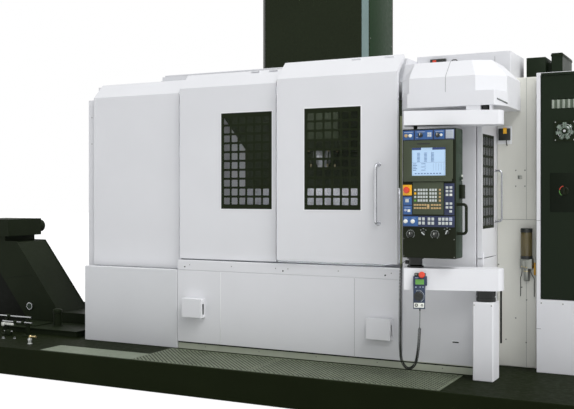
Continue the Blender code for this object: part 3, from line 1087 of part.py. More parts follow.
def joint_axes():
    """Each moving group hangs on an empty on its joint's axis."""
    ride("door_right_slide", (DOOR_RIGHT_SPAN[0], DOOR_RIGHT_FRONT, RAIL_TOP),
         ("door_right", "window_right", "door_handle"))
    ride("door_left_slide", (DOOR_LEFT_SPAN[0], DOOR_LEFT_FRONT, RAIL_TOP), ("door_left", "window_left"))
    ride("side_door_hinge", (*SIDE_HINGE, SIDE_DOOR_BOTTOM), ("side_door", "side_window", "side_door_handle"))
    hinge_x = CABINET_RIGHT - CABINET_FRAME - CABINET_DOOR_GAP / 2
    ride("cabinet_door_hinge", (hinge_x, CABINET_FRONT - CABINET_HINGE_RADIUS, CABINET_DOOR_BOTTOM),
         ("cabinet_door", "cabinet_fan", "cabinet_switch"))
    arm = ride("arm_swing", (*ARM_AXIS, LOWER_ARM_HEIGHTS[1]),
               ("lower_arm", "upper_arm", "swivel_base", "handwheel_unit", "curly_cord"))
    ride("pendant_swivel", (*on_arm(PENDANT_PIVOT), PENDANT_BOTTOM),
         ("pendant_housing", "display_unit", "key_panel", "stop_button", "pendant_handle"), carrier=arm)


def build():
    platform()
    lower_front()
    cover_box("left_cover_box", *LEFT_COVER)
    cover_box("right_cover_box", *RIGHT_COVER)
    upper_left()
    shell_walls()
    door("left", DOOR_LEFT_SPAN, DOOR_LEFT_FRONT, DOOR_LEFT_HEIGHTS, DOOR_LEFT_SLOPE, WINDOW_LEFT_INSET,
         TRACK_LOW_STEP, DOOR_LEFT_HANGERS, TRACK_STEP_DEPTH - TRACK_CLEARANCE)
    door("right", DOOR_RIGHT_SPAN, DOOR_RIGHT_FRONT, DOOR_RIGHT_HEIGHTS, DOOR_RIGHT_SLOPE, WINDOW_RIGHT_INSET,
         TRACK_HIGH_STEP, DOOR_RIGHT_HANGERS, 2 * TRACK_STEP_DEPTH)
    door_handle()
    tower()
    spindle()
    bed_and_table()
    hood()
    right_end()
    wall_fittings()
    cabinet()
    arms()
    pendant()
    handwheel_unit()
    conveyor()
    coolant_tank()
    joint_axes()


build()
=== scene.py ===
from math import cos, pi, radians, sin

import bmesh
import bpy
from mathutils import Matrix, Vector


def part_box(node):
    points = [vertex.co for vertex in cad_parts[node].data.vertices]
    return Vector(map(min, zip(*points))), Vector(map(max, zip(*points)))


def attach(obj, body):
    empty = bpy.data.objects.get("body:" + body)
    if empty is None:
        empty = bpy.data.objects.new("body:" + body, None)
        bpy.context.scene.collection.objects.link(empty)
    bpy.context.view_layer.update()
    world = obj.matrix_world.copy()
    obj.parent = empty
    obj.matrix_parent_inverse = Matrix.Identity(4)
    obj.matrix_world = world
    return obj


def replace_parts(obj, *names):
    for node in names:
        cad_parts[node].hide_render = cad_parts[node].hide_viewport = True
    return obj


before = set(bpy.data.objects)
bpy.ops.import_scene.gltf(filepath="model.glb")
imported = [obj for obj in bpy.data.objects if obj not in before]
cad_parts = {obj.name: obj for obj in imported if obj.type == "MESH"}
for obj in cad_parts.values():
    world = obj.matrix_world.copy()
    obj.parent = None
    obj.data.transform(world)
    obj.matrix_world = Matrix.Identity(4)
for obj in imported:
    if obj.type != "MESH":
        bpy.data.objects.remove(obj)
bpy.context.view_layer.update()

# Looks of the vertical machining center. Metres in the row frame: the origin is on the floor under the
# lower front panels, +Z up, +X to the operator's right and +Y towards the back.

# The photograph's view
PHOTO_WIDTH, PHOTO_HEIGHT = 574, 409      # pixels
FOCAL_LENGTH = 898.3                      # pixels
HORIZON = 194.4                           # pixel row of eye height
CAMERA_PLACE = (4.12, -7.47, 1.8)
CAMERA_TURN = radians(27.03)              # to the left of +Y
SENSOR = 36.0                             # mm

CLEAR = 0.0003          # between a piece and the surface that carries it


def camera():
    data = bpy.data.cameras.new("camera")
    data.sensor_width = SENSOR
    data.lens = SENSOR * FOCAL_LENGTH / PHOTO_WIDTH
    data.shift_y = -(PHOTO_HEIGHT / 2 - HORIZON) / PHOTO_WIDTH
    obj = bpy.data.objects.new("camera", data)
    obj.location = CAMERA_PLACE
    obj.rotation_euler = (pi / 2, 0, CAMERA_TURN)
    bpy.context.scene.collection.objects.link(obj)
    bpy.context.scene.camera = obj


camera()


# Materials

def srgb(red, green, blue):
    """A display colour, 0 to 255, as linear light."""
    return tuple((level / 255 / 12.92 if level <= 10 else ((level / 255 + 0.055) / 1.055) ** 2.4)
        for level in (red, green, blue))


class Nodes:
    """Short hands for the nodes of one material."""

    def __init__(self, name):
        self.material = bpy.data.materials.new(name)
        self.material.use_nodes = True
        self.tree = self.material.node_tree
        self.shader = self.tree.nodes["Principled BSDF"]
        self.place = self.add("ShaderNodeTexCoord").outputs["Object"]

    def add(self, kind, **values):
        node = self.tree.nodes.new(kind)
        for key, value in values.items():
            setattr(node, key, value)
        return node

    def link(self, source, target):
        self.tree.links.new(source, target)

    def noise(self, scale, detail=3.0, stretch=(1, 1, 1)):
        mapping = self.add("ShaderNodeMapping")
        mapping.inputs["Scale"].default_value = stretch
        self.link(self.place, mapping.inputs["Vector"])
        noise = self.add("ShaderNodeTexNoise")
        noise.inputs["Scale"].default_value = scale
        noise.inputs["Detail"].default_value = detail
        self.link(mapping.outputs["Vector"], noise.inputs["Vector"])
        return noise.outputs["Fac"]

    def spread(self, source, low, high, from_low=0.3, from_high=0.7):
        ranged = self.add("ShaderNodeMapRange")
        ranged.inputs["From Min"].default_value = from_low
        ranged.inputs["From Max"].default_value = from_high
        ranged.inputs["To Min"].default_value = low
        ranged.inputs["To Max"].default_value = high
        self.link(source, ranged.inputs["Value"])
        return ranged.outputs["Result"]

    def mix(self, share, first, second):
        mixed = self.add("ShaderNodeMix", data_type="RGBA")
        self.link(share, mixed.inputs["Factor"])
        for socket, value in ((mixed.inputs["A"], first), (mixed.inputs["B"], second)):
            if isinstance(value, tuple):
                socket.default_value = (*value, 1.0)
            else:
                self.link(value, socket)
        return mixed.outputs["Result"]

    def bump(self, height, strength, distance):
        bump = self.add("ShaderNodeBump")
        bump.inputs["Strength"].default_value = strength
        bump.inputs["Distance"].default_value = distance
        self.link(height, bump.inputs["Height"])
        self.link(bump.outputs["Normal"], self.shader.inputs["Normal"])

    def set(self, **values):
        for key, value in values.items():
            self.shader.inputs[key.replace("_", " ")].default_value = value


def shade(colour, share):
    return tuple(channel * share for channel in colour)


PEEL, SCRATCH = 0.15, 0.25        # strength of the fine relief in paint and in bare metal


def coated(name, colour, roughness, blotch=0.05, dust=0.0, specular=0.5, coat=0.0, grain=420.0):
    """Painted or moulded surface: slow blotches, upright streaks of grime, fine orange peel and uneven gloss.
    """
    n = Nodes(name)
    slow = n.spread(n.noise(1.7, 4.0), 0.0, 1.0)
    fine = n.noise(grain, 2.0)
    body = n.mix(slow, colour, shade(colour, 1.0 - blotch))
    if dust:
        smudge = n.spread(n.noise(6.0, 6.0, (1, 1, 0.35)), 0.0, dust, 0.45, 0.75)
        body = n.mix(smudge, body, shade(colour, 0.55))
    n.link(body, n.shader.inputs["Base Color"])
    n.link(n.spread(n.noise(23.0, 5.0), roughness * 0.88, roughness * 1.12), n.shader.inputs["Roughness"])
    n.bump(fine, PEEL, 0.0004)
    n.set(Specular_IOR_Level=specular, Coat_Weight=coat)
    return n.material


def brushed(name, colour, roughness, along=(1, 1, 0.03), metallic=1.0):
    """Bare metal with fine lines along one axis."""
    n = Nodes(name)
    lines = n.noise(300.0, 4.0, along)
    slow = n.spread(n.noise(5.0, 3.0), 0.0, 1.0)
    n.link(n.mix(slow, colour, shade(colour, 0.82)), n.shader.inputs["Base Color"])
    n.link(n.spread(lines, roughness * 0.7, roughness * 1.3), n.shader.inputs["Roughness"])
    n.bump(lines, SCRATCH, 0.0002)
    n.set(Metallic=metallic)
    return n.material


WHITE = coated("white_paint", (0.76, 0.765, 0.79), 0.42, blotch=0.035)
# Darker, bluer copy of the white paint: painted shade on the lower left panel, also used for the side and
# back sheets
WHITE_SHADED = coated("white_paint_shaded", (0.7, 0.71, 0.73), 0.45, blotch=0.04)
BEIGE = coated("beige_paint", (0.74, 0.74, 0.675), 0.5, blotch=0.06, dust=0.1)
KICK = coated("kick_paint", (0.54, 0.58, 0.46), 0.5, blotch=0.08, dust=0.2)
TRIM = coated("trim_white", (0.86, 0.87, 0.88), 0.35, blotch=0.03)
SERVICE = coated("service_paint", srgb(118, 126, 110), 0.5, blotch=0.12, dust=0.25, specular=0.1)
BLACK = coated("black_paint", srgb(22, 28, 12), 0.55, blotch=0.2, dust=0.15, specular=0.03)
TOWER = coated("tower_paint", srgb(33, 40, 24), 0.28, blotch=0.12, specular=0.1)
# Lighter, greener copy of the column cover's paint for its sides: painted light
TOWER_SIDE_LIT = coated("tower_side_painted_light", srgb(34, 54, 34), 0.4, blotch=0.15, specular=0.04)
# Pale blue-grey chamfer strip: a painted reflection of a bright light on the dark cover
TOWER_EDGE_REFLECTION = coated("tower_edge_painted_reflection", srgb(104, 126, 124), 0.25, blotch=0.15, specular=0.4)
CABINET_DARK = coated("cabinet_paint", srgb(29, 38, 26), 0.4, blotch=0.12, specular=0.08)
CABINET_INSET = coated("cabinet_inset", srgb(19, 26, 16), 0.4, blotch=0.12, specular=0.08)
GLOSS = coated("gloss_black", srgb(10, 14, 8), 0.09, blotch=0.1, specular=0.35)
DARK = coated("dark_paint", srgb(31, 38, 24), 0.5, blotch=0.2, dust=0.25, specular=0.06)
PENDANT = coated("pendant_black", srgb(25, 30, 17), 0.45, blotch=0.1, specular=0.12, grain=900.0)
PENDANT_SIDE = coated("pendant_grey", srgb(54, 66, 55), 0.5, blotch=0.1, specular=0.12, grain=900.0)
BEZEL = coated("bezel_grey", srgb(70, 77, 61), 0.5, blotch=0.06, specular=0.2, grain=900.0)
BLUE = coated("panel_blue", srgb(48, 92, 150), 0.42, blotch=0.08, grain=700.0)
UNIT_NAVY = coated("unit_navy", srgb(30, 46, 72), 0.4, blotch=0.1, grain=700.0)
NAVY = coated("panel_navy", srgb(26, 38, 72), 0.45, blotch=0.1, grain=700.0)
KEY = coated("key_grey", srgb(196, 202, 200), 0.5, blotch=0.05, grain=1200.0)
KEY_TAN = coated("key_tan", srgb(186, 158, 112), 0.5, blotch=0.05, grain=1200.0)
KEY_WHITE = coated("key_white", srgb(232, 234, 226), 0.45, blotch=0.04, grain=1200.0)
KEY_LILAC = coated("key_lilac", srgb(168, 178, 200), 0.5, blotch=0.06, grain=1200.0)
KEY_BLACK = coated("key_black", srgb(22, 26, 22), 0.4, blotch=0.1, grain=1200.0)
YELLOW = coated("signal_yellow", srgb(246, 184, 36), 0.4, blotch=0.06)
RED = coated("signal_red", srgb(222, 62, 28), 0.3, blotch=0.1, coat=0.4)
RUBBER = coated("rubber", srgb(30, 34, 28), 0.62, blotch=0.15, specular=0.3, grain=1500.0)
GRID = coated("grid_black", srgb(31, 37, 22), 0.5, blotch=0.1, specular=0.06)
STAINLESS = brushed("stainless", (0.62, 0.63, 0.66), 0.24)
STEEL = brushed("bright_steel", (0.55, 0.56, 0.57), 0.28)
BRASS = brushed("brass", (0.62, 0.5, 0.26), 0.3)
ALUMINIUM = brushed("aluminium", (0.66, 0.68, 0.66), 0.38, along=(0.04, 1, 1))
SCREW = brushed("screw_steel", (0.3, 0.31, 0.28), 0.35, along=(1, 1, 1))
IRON = brushed("cast_iron", (0.42, 0.43, 0.45), 0.42, along=(0.03, 1, 1), metallic=0.7)


def tread_material():
    """Worn steel plate: pale where feet rub it, darker between."""
    n = Nodes("tread_steel")
    worn = n.spread(n.noise(9.0, 6.0), 0.0, 1.0)
    n.link(n.mix(worn, (0.155, 0.18, 0.12), (0.1, 0.118, 0.076)), n.shader.inputs["Base Color"])
    n.link(n.spread(n.noise(40.0, 4.0), 0.34, 0.55), n.shader.inputs["Roughness"])
    n.bump(n.noise(220.0, 3.0), 0.3, 0.0004)
    n.set(Metallic=0.15, Specular_IOR_Level=0.3)
    return n.material


def pane_material():
    """Smoked pane that lets most of the light through."""
    n = Nodes("smoked_pane")
    n.link(n.mix(n.noise(4.0), (0.01, 0.013, 0.007), (0.016, 0.02, 0.012)), n.shader.inputs["Base Color"])
    n.link(n.spread(n.noise(60.0, 3.0), 0.04, 0.09), n.shader.inputs["Roughness"])
    n.set(Alpha=0.26, Specular_IOR_Level=0.14)
    return n.material


def glowing(name, colour, strength):
    """A surface that gives off light, such as a screen or a lamp; also a painted glow on the oil jar and on
    green marks that are no lamps.
    """
    n = Nodes(name)
    n.link(n.mix(n.noise(90.0), colour, shade(colour, 0.93)), n.shader.inputs["Base Color"])
    n.link(n.mix(n.noise(25.0), colour, shade(colour, 0.9)), n.shader.inputs["Emission Color"])
    n.set(Roughness=0.2, Emission_Strength=strength)
    return n.material


TREAD = tread_material()
PANE = pane_material()
SCREEN = glowing("screen", srgb(176, 204, 232), 0.22)
SCREEN_DARK = glowing("screen_dark", srgb(44, 66, 120), 0.1)
SCREEN_MID = glowing("screen_mid", srgb(96, 124, 168), 0.12)
LCD_GLOW = glowing("lcd", srgb(92, 150, 66), 0.12)
LAMP = glowing("work_lamp", (0.95, 0.97, 1.0), 6.0)
# The oil jar glows faintly though it is no lamp: a painted glow
AMBER_GLOW = glowing("amber_oil_glow", srgb(92, 82, 50), 0.04)
# Near-black for the inside of slots, holes and gaps: painted shade; also the dark joint lines
GAP_SHADE = coated("slot_painted_shade", srgb(14, 17, 11), 0.6, blotch=0.2, specular=0.1)
JOINT = coated("joint_grey", srgb(120, 124, 122), 0.6, blotch=0.1, specular=0.2)
SEAL = coated("seal_olive", srgb(150, 156, 122), 0.6, blotch=0.15, specular=0.2)
VENT = coated("vent_grey", srgb(152, 160, 148), 0.5, blotch=0.1, specular=0.3)
# Darker grey behind the vent bars and the fan blades: painted shade of their openings
VENT_SHADE = coated("vent_painted_shade", srgb(88, 98, 84), 0.6, blotch=0.15, specular=0.2)
FAN = coated("fan_grey", srgb(120, 136, 122), 0.5, blotch=0.15, specular=0.3)

# The CAD's material slot for pieces in these paints, where no other is named
SLOT_PAINTS = {"white_paint": (WHITE, WHITE_SHADED, TRIM, JOINT), "beige_paint": (BEIGE,),
    "black_paint": (TOWER, TOWER_SIDE_LIT, TOWER_EDGE_REFLECTION, GAP_SHADE), "cabinet_paint": (CABINET_DARK, CABINET_INSET),
    "dark_steel": (DARK, VENT, VENT_SHADE, FAN), "pendant_black": (NAVY, PENDANT, PENDANT_SIDE, KEY_BLACK,
    SCREEN, SCREEN_DARK, SCREEN_MID), "key_blue": (BLUE, UNIT_NAVY),
    "key_grey": (KEY, KEY_TAN, KEY_WHITE, KEY_LILAC, BEZEL), "signal_yellow": (YELLOW,),
    "rubber": (RUBBER, SEAL), "stainless": (STAINLESS,),}
SLOTS = {paint: slot for slot, paints in SLOT_PAINTS.items() for paint in paints}


# Building shapes

PLATE_WELD, LATHE_WELD = 0.000005, 0.000001
SMOOTH_ANGLE = radians(35)
SCREW_HEAD = 0.0025


def bar(shape, size, place):
    """A sharp-edged box of this size, put down by a matrix. Gives back its points."""
    made = bmesh.ops.create_cube(shape, size=1.0)["verts"]
    bmesh.ops.transform(shape, matrix=place @ Matrix.Diagonal((*size, 1)), verts=made)
    return made


def at_corners(shape, low, high):
    """A sharp-edged upright box between two corners. Gives back its points."""
    low, high = Vector(low), Vector(high)
    return bar(shape, high - low, Matrix.Translation((low + high) / 2))


def block(shape, low, high, edge=0.0):
    """An upright box between two corners, with rounded edges."""
    made = at_corners(shape, low, high)
    if edge:
        edges = {line for vert in made for line in vert.link_edges}
        bmesh.ops.bevel(shape, geom=list(edges), offset=edge, segments=2, profile=0.5, affect="EDGES",
            clamp_overlap=True)


TURNS = {"X": Matrix.Rotation(pi / 2, 4, "Y"), "Y": Matrix.Rotation(pi / 2, 4, "X"),
    "Z": Matrix.Identity(4)}


def turned(shape, profile, centre, axis="Z", sides=28):
    """A lathe shape: profile is (radius, height) along the axis. Heights along Y grow towards the front."""
    before = set(shape.verts)
    points = [shape.verts.new((radius, 0, height)) for radius, height in profile]
    edges = [shape.edges.new(pair) for pair in zip(points, points[1:])]
    bmesh.ops.spin(shape, geom=points + edges, cent=(0, 0, 0), axis=(0, 0, 1), angle=2 * pi, steps=sides,
        use_merge=True, use_duplicate=False)
    made = [vert for vert in shape.verts if vert not in before]
    bmesh.ops.remove_doubles(shape, verts=made, dist=LATHE_WELD)
    made = [vert for vert in made if vert.is_valid]
    bmesh.ops.transform(shape, matrix=Matrix.Translation(centre) @ TURNS[axis], verts=made)


def disc(shape, centre, radius, length, axis="Z", sides=24, edge=0.0):
    """A round bar or disc about its centre, its rims rounded off by edge."""
    half = length / 2
    edge = min(edge, half, radius)
    profile = [(0, -half), (radius - edge, -half), (radius, -half + edge), (radius, half - edge),
        (radius - edge, half), (0, half)]
    turned(shape, [spot for index, spot in enumerate(profile) if not index or spot != profile[index - 1]],
        centre, axis, sides)


def drum(radius, bottom, top):
    """Profile of a plain cylinder."""
    return [(0, bottom), (radius, bottom), (radius, top), (0, top)]


def shown(obj, paint, body, slot):
    """Put a new object in the scene with its paint and on its body."""
    bpy.context.scene.collection.objects.link(obj)
    obj.data.materials.append(paint)
    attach(obj, body)
    slot = slot or SLOTS.get(paint)
    return obj


def piece(name, shape, paint, body="machine", slot=None, matrix=None):
    """Turn a shape into a named object."""
    bmesh.ops.recalc_face_normals(shape, faces=shape.faces)
    mesh = bpy.data.meshes.new(name)
    shape.to_mesh(mesh)
    shape.free()
    mesh.shade_smooth()
    mesh.set_sharp_from_angle(angle=SMOOTH_ANGLE)
    obj = bpy.data.objects.new(name, mesh)
    if matrix:
        obj.matrix_world = matrix
    return shown(obj, paint, body, slot)


def blocks(name, corners, paint, body="machine", slot=None, edge=0.0, matrix=None):
    """One piece made of upright boxes."""
    shape = bmesh.new()
    for low, high in corners:
        block(shape, low, high, edge)
    return piece(name, shape, paint, body, slot, matrix)


def lathed(name, parts, paint, body="machine", slot=None, matrix=None):
    """One piece made of lathe shapes, each given as profile, centre, axis and sides."""
    shape = bmesh.new()
    for part in parts:
        turned(shape, *part)
    return piece(name, shape, paint, body, slot, matrix)


def rounded(centre, size, radius, steps=3):
    """Points round a rectangle with round corners, in its own plane."""
    points = []
    for index, (sx, sy) in enumerate(((1, 1), (-1, 1), (-1, -1), (1, -1))):
        cx = centre[0] + sx * (size[0] / 2 - radius)
        cy = centre[1] + sy * (size[1] / 2 - radius)
        for step in range(steps + 1):
            turn = pi / 2 * (index + step / steps)
            points.append((cx + radius * cos(turn), cy + radius * sin(turn)))
    return points


PLANES = {"XZ": Matrix(((1, 0, 0, 0), (0, 0, -1, 0), (0, 1, 0, 0), (0, 0, 0, 1))),
    "YZ": Matrix(((0, 0, 1, 0), (1, 0, 0, 0), (0, 1, 0, 0), (0, 0, 0, 1)))}


def plate(name, outlines, level, thickness, paint, body, plane="XZ", edge=0.0, slot=None):
    """A flat sheet from its outline and the outlines of its holes, about the given level of its normal."""
    curve = bpy.data.curves.new(name, "CURVE")
    curve.dimensions = "2D"
    curve.fill_mode = "BOTH"
    curve.extrude = thickness / 2 - edge
    curve.bevel_depth = edge
    curve.bevel_resolution = 1
    for outline in outlines:
        spline = curve.splines.new("POLY")
        spline.points.add(len(outline) - 1)
        for point, (across, up) in zip(spline.points, outline):
            point.co = (across, up, 0, 1)
        spline.use_cyclic_u = True
    holder = bpy.data.objects.new(name, curve)
    bpy.context.scene.collection.objects.link(holder)
    bpy.context.view_layer.update()
    mesh = bpy.data.meshes.new_from_object(holder.evaluated_get(bpy.context.evaluated_depsgraph_get()))
    bpy.data.objects.remove(holder, do_unlink=True)
    shape = bmesh.new()
    shape.from_mesh(mesh)
    bpy.data.meshes.remove(mesh)
    bmesh.ops.remove_doubles(shape, verts=shape.verts, dist=PLATE_WELD)
    shift = (0, level, 0) if plane == "XZ" else (level, 0, 0)
    bmesh.ops.transform(shape, matrix=Matrix.Translation(shift) @ PLANES[plane], verts=shape.verts)
    return piece(name, shape, paint, body, slot)


def smooth_line(points, count):
    """Points evenly spaced by parameter on a Catmull-Rom curve through the given points."""
    spots = [Vector(p) for p in points]
    spots = [2 * spots[0] - spots[1]] + spots + [2 * spots[-1] - spots[-2]]
    spans = len(points) - 1
    line = []
    for index in range(count):
        reach = index / (count - 1) * spans
        span = min(int(reach), spans - 1)
        t = reach - span
        a, b, c, d = spots[span:span + 4]
        line.append(0.5 * (2 * b + (c - a) * t + (2 * a - 5 * b + 4 * c - d) * t * t
            + (3 * b - a - 3 * c + d) * t ** 3))
    return line


def hose(name, points, radius, paint, body="machine", resolution=4, slot=None):
    """A round bar, tube or cable along a line of points."""
    curve = bpy.data.curves.new(name, "CURVE")
    curve.dimensions = "3D"
    curve.bevel_depth = radius
    curve.bevel_resolution = resolution
    curve.use_fill_caps = True
    spline = curve.splines.new("POLY")
    spline.points.add(len(points) - 1)
    for point, spot in zip(spline.points, points):
        point.co = (*spot, 1.0)
    spline.use_smooth = True
    return shown(bpy.data.objects.new(name, curve), paint, body, slot)


def swept(start, sweep, count):
    """Evenly spaced angles from start over sweep, given in degrees."""
    return [radians(start + sweep * step / (count - 1)) for step in range(count)]


def bow(start, end, out, bend):
    """Points of a pull handle: out from start, round a bend, along, and back in to end."""
    start, end, out = Vector(start), Vector(end), Vector(out)
    along, away = (end - start).normalized(), out.normalized()
    turns = swept(0, 90, 9)
    first = [start + out + (along - away + away * sin(turn) - along * cos(turn)) * bend for turn in turns]
    second = [end + out - (along + away - away * cos(turn) - along * sin(turn)) * bend for turn in turns]
    return [start, *first, *second, end]


def screws(name, spots, radius, axis, sign, body="machine", paint=SCREW):
    """Domed socket heads standing on a face: spots are points on the face, sign the way it looks."""
    rise = SCREW_HEAD * (-1 if (axis == "Y") == (sign > 0) else 1)
    profile = [(radius * wide, rise * up) for wide, up in ((0, 0), (1, 0), (1, 0.5), (0.8, 1), (0.45, 1),
        (0.38, 0.35), (0, 0.35))]
    return lathed(name, [(profile, spot, axis, 12) for spot in spots], paint, body)


def seam(name, points, paint=JOINT, slot=None):
    """The joint between two sheets, as a dark line on their surface."""
    hose(name, points, 0.0015, paint, resolution=0, slot=slot)


def wall_of(node, axis, sign):
    """A node's outer face as a wall: its axis, its place and the way it looks."""
    return axis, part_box(node)[sign > 0]["XYZ".index(axis)], sign


def off(wall, out):
    """The wall's level that far out."""
    axis, face, sign = wall
    return axis, face + sign * out, sign


def on_wall(wall, across, up, out):
    """Corners of a box on an upright wall: out is how far it stands off."""
    axis, face, sign = wall
    depth = sorted((face + sign * CLEAR, face + sign * out))
    spans = (depth, across, up) if axis == "X" else (across, depth, up)
    return tuple(zip(*spans))


def wall_blocks(name, wall, rectangles, out, paint, body="machine", slot=None, edge=0.0):
    """Flat boxes on a wall: rectangles are ((left, right), (bottom, top))."""
    return blocks(name, [on_wall(wall, across, up, out) for across, up in rectangles], paint, body, slot,
        edge)


def louvres(name, wall, left, width, bottom, pitch, count, paint):
    """Hooded louvres one above the other on a wall."""
    axis, face, sign = wall
    shape = bmesh.new()
    for index in range(count):
        foot = bottom + pitch * index
        for vert in at_corners(shape, *on_wall(wall, (left, left + width), (foot, foot + pitch * 0.6),
                pitch * 0.35)):
            depth = vert.co["XYZ".index(axis)]
            if vert.co.z > foot + pitch * 0.3 and abs(depth - face) > pitch * 0.1:
                vert.co["XYZ".index(axis)] = face + sign * 0.001
    piece(name, shape, paint)


def marks(shape, centre, radius, turns, size, lean=True):
    """Marks round a dial that looks to the front: turns run clockwise from the top."""
    for turn in turns:
        place = Matrix.Translation((centre[0] + radius * sin(turn), centre[1],
            centre[2] + radius * cos(turn)))
        bar(shape, size, place @ Matrix.Rotation(turn, 4, "Y") if lean else place)


# Paint and soften the CAD nodes

NODE_PAINTS = {
    WHITE: "back_wall cabinet door_left door_right door_rail door_track hood left_corner_post left_wall "
           "fixed_left_panel left_cover_box lower_arm lower_centre_panel magazine_cover pedestal roof "
           "right_cover_box right_front_panel right_wall roof_hatch side_door side_frame upper_arm",
    # The lower left panel takes the darker copy of white as painted shade
    WHITE_SHADED: "lower_left_panel",
    BEIGE: "rear_housing",
    KICK: "kick_strip",
    BLACK: "platform",
    TOWER: "column_cover",
    CABINET_DARK: "cabinet_door duct",
    DARK: "conveyor_body conveyor_head spindle_head column coolant_tank cabinet_fan",
    TREAD: "tread_plate",
    SERVICE: "service_plate",
    STEEL: "spindle_nose",
    IRON: "bed table",
    PANE: "side_window window_left window_right",
    PENDANT: "pendant_housing cabinet_switch",
    STAINLESS: "way_cover",
    GLOSS: "swivel_base pedestal_pivot hood_pivot",
    BEZEL: "display_unit key_panel",
}
SOFT_NODES = ("door_left door_right fixed_left_panel lower_left_panel lower_centre_panel hood upper_arm "
              "right_front_panel lower_arm pedestal magazine_cover roof_hatch left_cover_box cabinet "
              "right_cover_box side_frame door_rail")
EDGE_ROUND = 0.004        # folded sheet

for node_paint, names in NODE_PAINTS.items():
    for node_name in names.split():
        for node_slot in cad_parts[node_name].material_slots:
            node_slot.material = node_paint
for node_name in SOFT_NODES.split():
    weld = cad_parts[node_name].modifiers.new("weld", "WELD")
    weld.merge_threshold = 0.00001
    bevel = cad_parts[node_name].modifiers.new("edges", "BEVEL")
    bevel.width = EDGE_ROUND
    bevel.segments = 2
    bevel.limit_method = "ANGLE"
    bevel.angle_limit = radians(30)
    bevel.harden_normals = True


# Curly cord between the pendant's swivel and the handwheel unit

CORD_ROUTE = [(1.5747, -0.283, 1.232), (1.568, -0.283, 1.232), (1.558, -0.284, 1.231),
    (1.539, -0.287, 1.205), (1.533, -0.292, 1.12), (1.531, -0.297, 0.98), (1.532, -0.303, 0.74),
    (1.536, -0.312, 0.52), (1.56, -0.33, 0.4), (1.622, -0.352, 0.352), (1.688, -0.372, 0.4),
    (1.718, -0.385, 0.52), (1.732, -0.392, 0.68), (1.737, -0.394, 0.8), (1.737, -0.394, 0.8605)]
CORD_SPOTS = 600              # points on the coil's middle line
CORD_OUTSIDE = 0.013          # radius of the coil
CORD_WIRE = 0.0025            # radius of the cable
CORD_PITCH_TOP, CORD_PITCH = 0.0125, 0.0078
CORD_PITCH_FROM, CORD_PITCH_OVER = 0.15, 0.35               # where the pitch changes, along the middle line
CORD_STRAIGHT_START, CORD_STRAIGHT_END = 0.03, 0.15
CORD_WIDENS_OVER = 0.02
CORD_STEPS = 14               # points a turn


def eased(share):
    """A share from nought to one that starts and ends gently."""
    share = max(0.0, min(1.0, share))
    return share * share * (3 - 2 * share)


def curly_cord():
    centre = smooth_line(CORD_ROUTE, CORD_SPOTS)
    reach = [0.0]
    for a, b in zip(centre, centre[1:]):
        reach.append(reach[-1] + (b - a).length)
    total = reach[-1]
    across = Vector((0, 1, 0))
    points, turn, at, index = [], 0.0, 0.0, 0
    while at < total:
        while index < len(reach) - 2 and reach[index + 1] < at:
            index += 1
        t = (at - reach[index]) / (reach[index + 1] - reach[index])
        spot = centre[index].lerp(centre[index + 1], t)
        tangent = (centre[index + 1] - centre[index]).normalized()
        across = (across - tangent * across.dot(tangent)).normalized()
        wide = eased((at - CORD_STRAIGHT_START) / CORD_WIDENS_OVER) * eased((total - CORD_STRAIGHT_END - at)
            / CORD_WIDENS_OVER)
        radius = (CORD_OUTSIDE - CORD_WIRE) * wide
        points.append(spot + (across * cos(turn) + tangent.cross(across) * sin(turn)) * radius)
        pitch = CORD_PITCH_TOP + (CORD_PITCH - CORD_PITCH_TOP) * eased((at - CORD_PITCH_FROM)
            / CORD_PITCH_OVER)
        turn += 2 * pi / CORD_STEPS
        at += pitch / CORD_STEPS
    points[-1] = centre[-1]
    coil = hose("curly_cable", points, CORD_WIRE, RUBBER, "arm", resolution=1)
    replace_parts(coil, "curly_cord")


curly_cord()


# Windows: a black plate with rows of square openings over each pane, a rubber strip round it, and on the
# front doors a white lip

PANE_LAP = 0.02           # how far a pane laps behind its opening's edge
GRID_PITCH, GRID_HOLE, GRID_SHEET, GRID_PROUD = 0.0862, 0.065, 0.0012, 0.001
SEAL_WIDTH, SEAL_SHEET, SEAL_PROUD = 0.006, 0.0022, 0.0016
TRIM_LIP, TRIM_SHEET = 0.009, 0.002
WINDOWS = (("left", "door_left", "window_left", "XZ", 6, 10),
    ("right", "door_right", "window_right", "XZ", 6, 10), ("side", "side_door", "side_window", "YZ", 4, 9))


def opening(pane, plane):
    """Centre, size and outer level of the opening over a pane, and the way the level looks."""
    low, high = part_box(pane)
    left, right = (low.x, high.x) if plane == "XZ" else (low.y, high.y)
    level, sign = (low.y, -1) if plane == "XZ" else (high.x, 1)
    size = (right - left - 2 * PANE_LAP, high.z - low.z - 2 * PANE_LAP)
    return ((left + right) / 2, (low.z + high.z) / 2), size, level, sign


for side, door, pane, plane, columns, rows in WINDOWS:
    centre, size, level, sign = opening(pane, plane)
    holes = [(centre[0] + (column - (columns - 1) / 2) * GRID_PITCH,
        centre[1] + (row - (rows - 1) / 2) * GRID_PITCH) for column in range(columns)
        for row in range(rows)]
    plate("window_grid_" + side, [rounded(centre, size, 0.004)]
        + [rounded(hole, (GRID_HOLE, GRID_HOLE), 0.007, steps=2) for hole in holes],
        level + sign * GRID_PROUD, GRID_SHEET, GRID, door, plane)
for side, door, pane, plane, *_ in WINDOWS:
    centre, size, level, sign = opening(pane, plane)
    inner = rounded(centre, (size[0] - 2 * SEAL_WIDTH, size[1] - 2 * SEAL_WIDTH), 0.003)
    plate("window_seal_" + side, [rounded(centre, size, 0.004), inner], level + sign * SEAL_PROUD,
        SEAL_SHEET, RUBBER, door, plane)


# Pull handles: bent tubes with round feet

FOOT_SHARE = 1.6          # radius of a handle's foot against its tube's
PULLS = (("door_pull", "door_handle", "door_right", "Y", 0.07, 0.014, 0.03, STAINLESS),
    ("side_door_pull", "side_door_handle", "side_door", "X", 0.062, 0.009, 0.03, STAINLESS),
    ("pendant_pull", "pendant_handle", "pendant", "X", 0.078, 0.012, 0.026, PENDANT))

